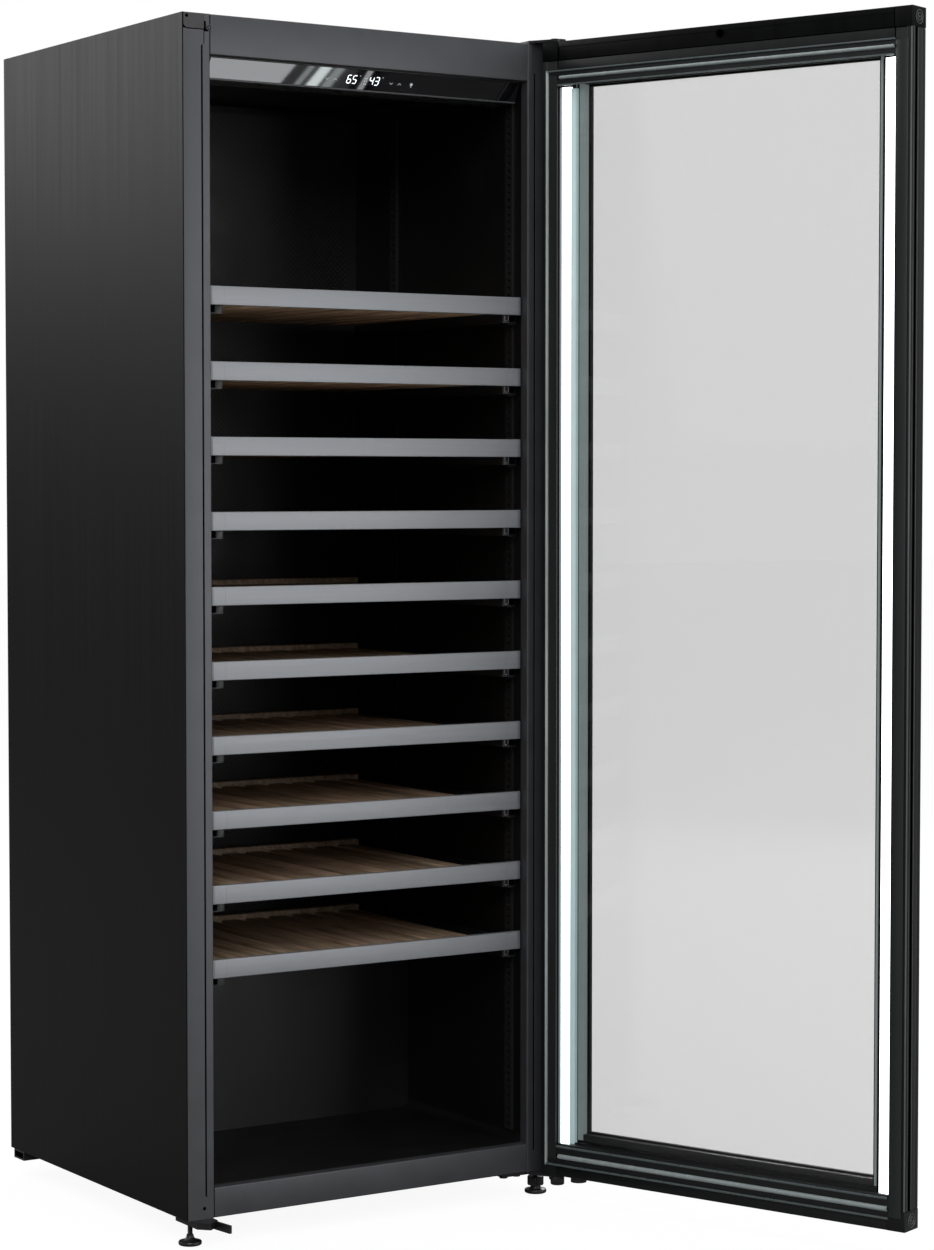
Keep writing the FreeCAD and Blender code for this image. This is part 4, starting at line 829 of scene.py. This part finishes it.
# corner caps with their screw boss on the end faces
for sign, side in ((-1, "free"), (1, "hinge")):
    for level, z0, z1 in (("low", DOOR_LOW, CAP_LEVELS[0] - GAP), ("top", CAP_LEVELS[1] + GAP, DOOR_TOP)):
        mesh = bmesh.new()
        outline = round_corners([(0, 0), (CAP - GAP, 0), (CAP - GAP, 41), (0, 41)], [1.2, 0.2, 0.2, 1.6])
        add_prism(mesh, outline, side_point(sign, z0), side_point(sign, z1))
        # the top caps take the darker finish: painted shade
        look = door_dark_and_shade if level == "top" else door_metal
        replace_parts(piece("corner_cap_%s_%s" % (level, side), mesh, look, "door", bevel=0.25,
                          place=DOOR), "door_corner_caps")
        mesh = bmesh.new()
        centre = (MIDDLE + sign * DOOR_HALF, INNER - 20.5, (z0 + z1) / 2)
        for rings in ([(10.2, -0.2), (10.2, 0.6), (9.9, 0.8), (9.5, 0.8), (9.2, 0.3), (9.2, -0.2)],
                      [(6.0, -0.2), (6.0, 0.7), (5.7, 0.95), (5.2, 0.95), (4.9, 0.4), (4.9, -0.2)],
                      [(1.5, -0.2), (1.5, 0.6), (1.0, 0.8)]):
            add_lathe(mesh, [(radius, sign * h) for radius, h in rings], centre, axis="x", count=40)
        piece("cap_boss_%s_%s" % (level, side), mesh, cap_ring, "door", place=DOOR)

mesh = bmesh.new()
for sign in (-1, 1):
    a, b = sorted((sign * (DOOR_HALF - CAP - 0.7), sign * (DOOR_HALF - CAP + 0.7)))
    door_box(mesh, (a, b), (-0.06, 1), (DOOR_TOP - CAP + 1, DOOR_TOP - 0.5))
door_box(mesh, (-DOOR_HALF + 0.6, DOOR_HALF - 0.6), (0.3, 1.5), (DOOR_TOP - CAP - 0.6, DOOR_TOP - CAP + 0.6))
piece("cap_seams", mesh, matte_black_and_shade, "door", place=DOOR)

# catch hole at the top of the inner face
mesh = bmesh.new()
add_lathe(mesh, [(6.2, 0.2), (6.2, -0.9), (5.0, -1.1), (4.6, 3.6), (0.3, 4.0)],
          (MIDDLE, INNER - 0.2, DOOR_TOP - 13), axis="y", count=32)
piece("catch_socket", mesh, matte_black_and_shade, "door", place=DOOR)

# seal: ribbed above and below, a flat cushion on the free side, a thin lip on the hinge side; the lip lines,
# the ribs and the hinge-side lip are light grey, painted highlights on the black rubber
SEAL_LOW, SEAL_TOP = (57.0, 91.0), (1776.0, 1750.5)


def across_seal(x, outer, inner):
    return lambda t, proud: (MIDDLE + x, INNER + proud, outer + (inner - outer) * t)


def up_seal(z):
    return lambda x, proud: (MIDDLE + x, INNER + proud, z)


RIBS = [(t, 1.4 + 3.2 * math.sin(k * math.pi / 8)) for k, t in
        enumerate(0.44 - 0.105 * math.cos(k * math.pi / 8) for k in range(9))]
mesh = bmesh.new()
for outer, inner in (SEAL_LOW, SEAL_TOP):
    for x0, x1, index, section in (
            (-299.5, 316.9, 1, [(0, -0.6), (0, 3.9), (0.03, 4.3), (0.07, 4.2), (0.09, 3.8), (0.09, -0.6)]),
            (-299.5, 313.6, 0, [(0.092, -0.6), (0.092, 0.9), (0.313, 0.9), (0.313, -0.6)]),
            (-297.0, 292.0, 4, [(0.315, -0.6)] + RIBS + [(0.565, -0.6)]),
            (-299.5, 297.4, 0, [(0.567, -0.6), (0.567, 0.8), (0.85, 0.8), (0.85, -0.6)]),
            (-297.0, 296.0, 1, [(0.852, -0.6), (0.852, 2.0), (0.88, 2.5), (0.93, 2.5), (0.95, 2.1),
                                (0.95, -0.6)])):
        add_prism(mesh, section, across_seal(x0, outer, inner), across_seal(x1, outer, inner), index)
for section, index in (
        ([(313.9, -0.6), (313.9, 3.9), (314.9, 4.35), (316.2, 4.35), (317, 3.9), (317, -0.6)], 2),
        ([(297.6, -0.6), (297.6, 0.7), (313.6, 0.7), (313.6, -0.6)], 3),
        ([(-320.4, -0.6), (-320.4, 1.4), (-319.6, 1.9), (-300.6, 1.9), (-299.8, 1.4), (-299.8, -0.6)], 3)):
    add_prism(mesh, section, up_seal(SEAL_LOW[0] + (3.3 if index == 3 else 0)),
              up_seal(SEAL_TOP[0] - (2.5 if index == 3 else 0)), index)
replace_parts(piece("door_seal", mesh, [gasket_rubber, lip_painted_highlight, seal_painted_highlight, seal_flat, rib_painted_highlight], "door",
                  place=DOOR), "door_gasket")

# spacer between the panes, and the bead that holds the glass beside each light bar; the spacer sides and the
# hinge-side bead glow with painted light from the light bars
lo, hi = span("glass_panes")[0][2] + 3.75, span("glass_panes")[1][2] - 3.75
BETWEEN_PANES = (18.25, 30.15)
mesh = bmesh.new()
door_box(mesh, (258.5, 268.2), BETWEEN_PANES, (lo, hi))
door_box(mesh, (-268.2, -264.6), BETWEEN_PANES, (lo, hi))
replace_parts(piece("spacer_sides", mesh, spacer_painted_glow, "door", bevel=0.3, place=DOOR),
            "glass_spacer")
mesh = bmesh.new()
for z0, z1 in ((lo, lo + 9.5), (hi - 9.5, hi)):
    door_box(mesh, (-264, 258), BETWEEN_PANES, (z0, z1))
piece("spacer_ends", mesh, band_grey, "door", bevel=0.3, place=DOOR)
for sign, label, look in ((1, "hinge_side", bead_painted_glow), (-1, "free_side", door_dark_and_shade)):
    mesh = bmesh.new()
    section = [(277.8, 9.0), (272.4, 12.2), (269.2, 17.9), (272.3, 17.9), (272.3, 13.8), (277.8, 13.8)]
    add_prism(mesh, section, lambda a, d: (MIDDLE + sign * a, INNER - d, 88),
              lambda a, d: (MIDDLE + sign * a, INNER - d, 1748))
    piece("glass_bead_" + label, mesh, look, "door", bevel=0.2, place=DOOR)

# printed border on the outer pane, just inside its ledge
mesh = bmesh.new()
add_mitred(mesh, [(LIP - 3, 29.9), (LIP + 0.4, 29.9), (LIP + 0.4, 30.1), (LIP - 3, 30.1)])
piece("pane_border", mesh, door_dark_and_shade, "door", place=DOOR)

# light bars
for sign, label in ((-1, "free_side"), (1, "hinge_side")):
    mesh = bmesh.new()
    z0, z1 = span("door_lights")[0][2], span("door_lights")[1][2]
    outer = 292.6 if sign > 0 else 296.6
    section = round_corners([(278, 8.8), (outer, 5.8), (outer, 13), (278, 13)], [0.8, 0.8, 0, 0])
    add_prism(mesh, section, lambda a, d: (MIDDLE + sign * a, INNER - d, z0),
              lambda a, d: (MIDDLE + sign * a, INNER - d, z1))
    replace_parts(piece("light_bar_" + label, mesh, diffuser, "door", place=DOOR), "door_lights")
mesh = bmesh.new()
door_box(mesh, (292.8, 296.9), (5.4, 13), (z0, z1))
piece("light_bar_edge", mesh, diffuser_edge, "door", bevel=0.6, place=DOOR)

# ---------------- stage, lights, camera
mesh = bmesh.new()
size = 30000
corners = [(-size, -size, 0), (size, -size, 0), (size, size, 0), (-size, size, 0)]
mesh.faces.new([mesh.verts.new(c) for c in corners])
bmesh.ops.scale(mesh, vec=(MM, MM, MM), verts=mesh.verts)
data = bpy.data.meshes.new("floor")
mesh.to_mesh(data)
mesh.free()
floor = bpy.data.objects.new("floor", data)
bpy.context.scene.collection.objects.link(floor)
pale = finish("floor_look", (0.29, 0.29, 0.29), 0.9, grain=(1, 1, 1), vary=0.004, bump=0.0)
tree = pale.node_tree
shader = tree.nodes["Principled BSDF"]
shader.inputs["Specular IOR Level"].default_value = 0.0
shader.inputs["Emission Color"].default_value = (1, 1, 1, 1)
rays = tree.nodes.new("ShaderNodeLightPath")
glow = tree.nodes.new("ShaderNodeMath")
glow.operation = "MULTIPLY"
glow.inputs[1].default_value = 0.93
link(tree, rays.outputs["Is Camera Ray"], glow.inputs[0])
link(tree, glow.outputs["Value"], shader.inputs["Emission Strength"])
tone = tree.nodes.new("ShaderNodeMix")
tone.data_type = "RGBA"
# socket numbers of a colour mix, whose names are shared with its other data types
MIX_FACTOR, MIX_A, MIX_B, MIX_RESULT = 0, 6, 7, 2
link(tree, rays.outputs["Is Camera Ray"], tone.inputs[MIX_FACTOR])
link(tree, shader.inputs["Base Color"].links[0].from_socket, tone.inputs[MIX_A])
tone.inputs[MIX_B].default_value = (0.10, 0.10, 0.10, 1)
link(tree, tone.outputs[MIX_RESULT], shader.inputs["Base Color"])
data.materials.append(pale)


def softbox(name, place, aim, width, height, power, colour=(1, 1, 1)):
    lamp = bpy.data.lights.new(name, "AREA")
    lamp.shape = "RECTANGLE"
    lamp.size, lamp.size_y = width, height
    lamp.energy = power
    lamp.color = colour
    holder = bpy.data.objects.new(name, lamp)
    bpy.context.scene.collection.objects.link(holder)
    holder.location = place
    holder.visible_camera = False
    holder.rotation_euler = (Vector(aim) - Vector(place)).to_track_quat("-Z", "Y").to_euler()
    return holder


softbox("key", (-3.0, -5.0, 3.6), (0, 0, 1.0), 2.4, 2.4, 110)
softbox("front", (3.2, -5.6, 1.25), (0, -0.3, 0.7), 3.6, 2.4, 75)
softbox("low", (1.7, -3.25, 0.03), (1.7, -3.25, 3), 1.6, 1.6, 11)
softbox("top", (0.4, -1.0, 4.6), (0, 0, 0), 4.0, 4.0, 70)
softbox("left_far", (-3.6, 4.8, 3.3), (-0.3, 0, 1.6), 3.6, 2.4, 120)
softbox("right_far", (4.2, 2.4, 2.4), (0.4, 0, 1.0), 3.0, 2.4, 90)

# cards close to the floor, facing up and hidden from the camera, that the control glass mirrors
CARD_X, CARD_Y, CARD_Z = 1.251, -2.04, 0.02
for name, along, reach, width, length, power, colour in (
        ("card", 0.0, 0.15, 0.30, 0.50, 2.0, (0.95, 0.97, 1.0)),
        ("card_streak", 0.085, 0.0, 0.022, 0.50, 0.30, (0.92, 1.0, 1.0)),
        ("card_streak_left", 0.045, 0.0, 0.012, 0.50, 0.05, (0.92, 1.0, 1.0)),
        ("card_streak_right", 0.125, 0.0, 0.018, 0.50, 0.08, (0.92, 1.0, 1.0))):
    shift = -reach / math.sqrt(2)
    spot = (CARD_X + along + shift, CARD_Y + shift, CARD_Z)
    lamp = softbox(name, spot, (0, 0, 0), width, length, power, colour)
    lamp.rotation_euler = (math.pi, 0, math.radians(45))

world = bpy.data.worlds.new("studio")
bpy.context.scene.world = world
world.use_nodes = True
tree = world.node_tree
shell = tree.nodes["Background"]
place = tree.nodes.new("ShaderNodeTexCoord")
split = tree.nodes.new("ShaderNodeSeparateXYZ")
link(tree, place.outputs["Generated"], split.inputs["Vector"])
ramp = tree.nodes.new("ShaderNodeValToRGB")
ramp.color_ramp.elements[0].position = 0.0
ramp.color_ramp.elements[0].color = (0.16, 0.16, 0.165, 1)
ramp.color_ramp.elements[1].position = 0.5
ramp.color_ramp.elements[1].color = (0.62, 0.62, 0.63, 1)
link(tree, split.outputs["Z"], ramp.inputs["Fac"])
link(tree, ramp.outputs["Color"], shell.inputs["Color"])
shell.inputs["Strength"].default_value = 0.9
seen = tree.nodes.new("ShaderNodeBackground")
seen.inputs["Color"].default_value = (1, 1, 1, 1)
rays = tree.nodes.new("ShaderNodeLightPath")
mix = tree.nodes.new("ShaderNodeMixShader")
link(tree, rays.outputs["Is Camera Ray"], mix.inputs["Fac"])
link(tree, shell.outputs["Background"], mix.inputs[1])
link(tree, seen.outputs["Background"], mix.inputs[2])
link(tree, mix.outputs["Shader"], tree.nodes["World Output"].inputs["Surface"])

bpy.context.scene.view_settings.view_transform = "Standard"

camera = bpy.data.cameras.new("camera")
camera.sensor_fit = "VERTICAL"
camera.sensor_height = 36
camera.lens = 89.22
camera.clip_start, camera.clip_end = 0.1, 200
eye = bpy.data.objects.new("camera", camera)
bpy.context.scene.collection.objects.link(eye)
eye.location = (-2.462, -4.3499, 1.1395)
eye.rotation_euler = (math.radians(90 - 2.677), 0, math.radians(-33.059))
bpy.context.scene.camera = eye
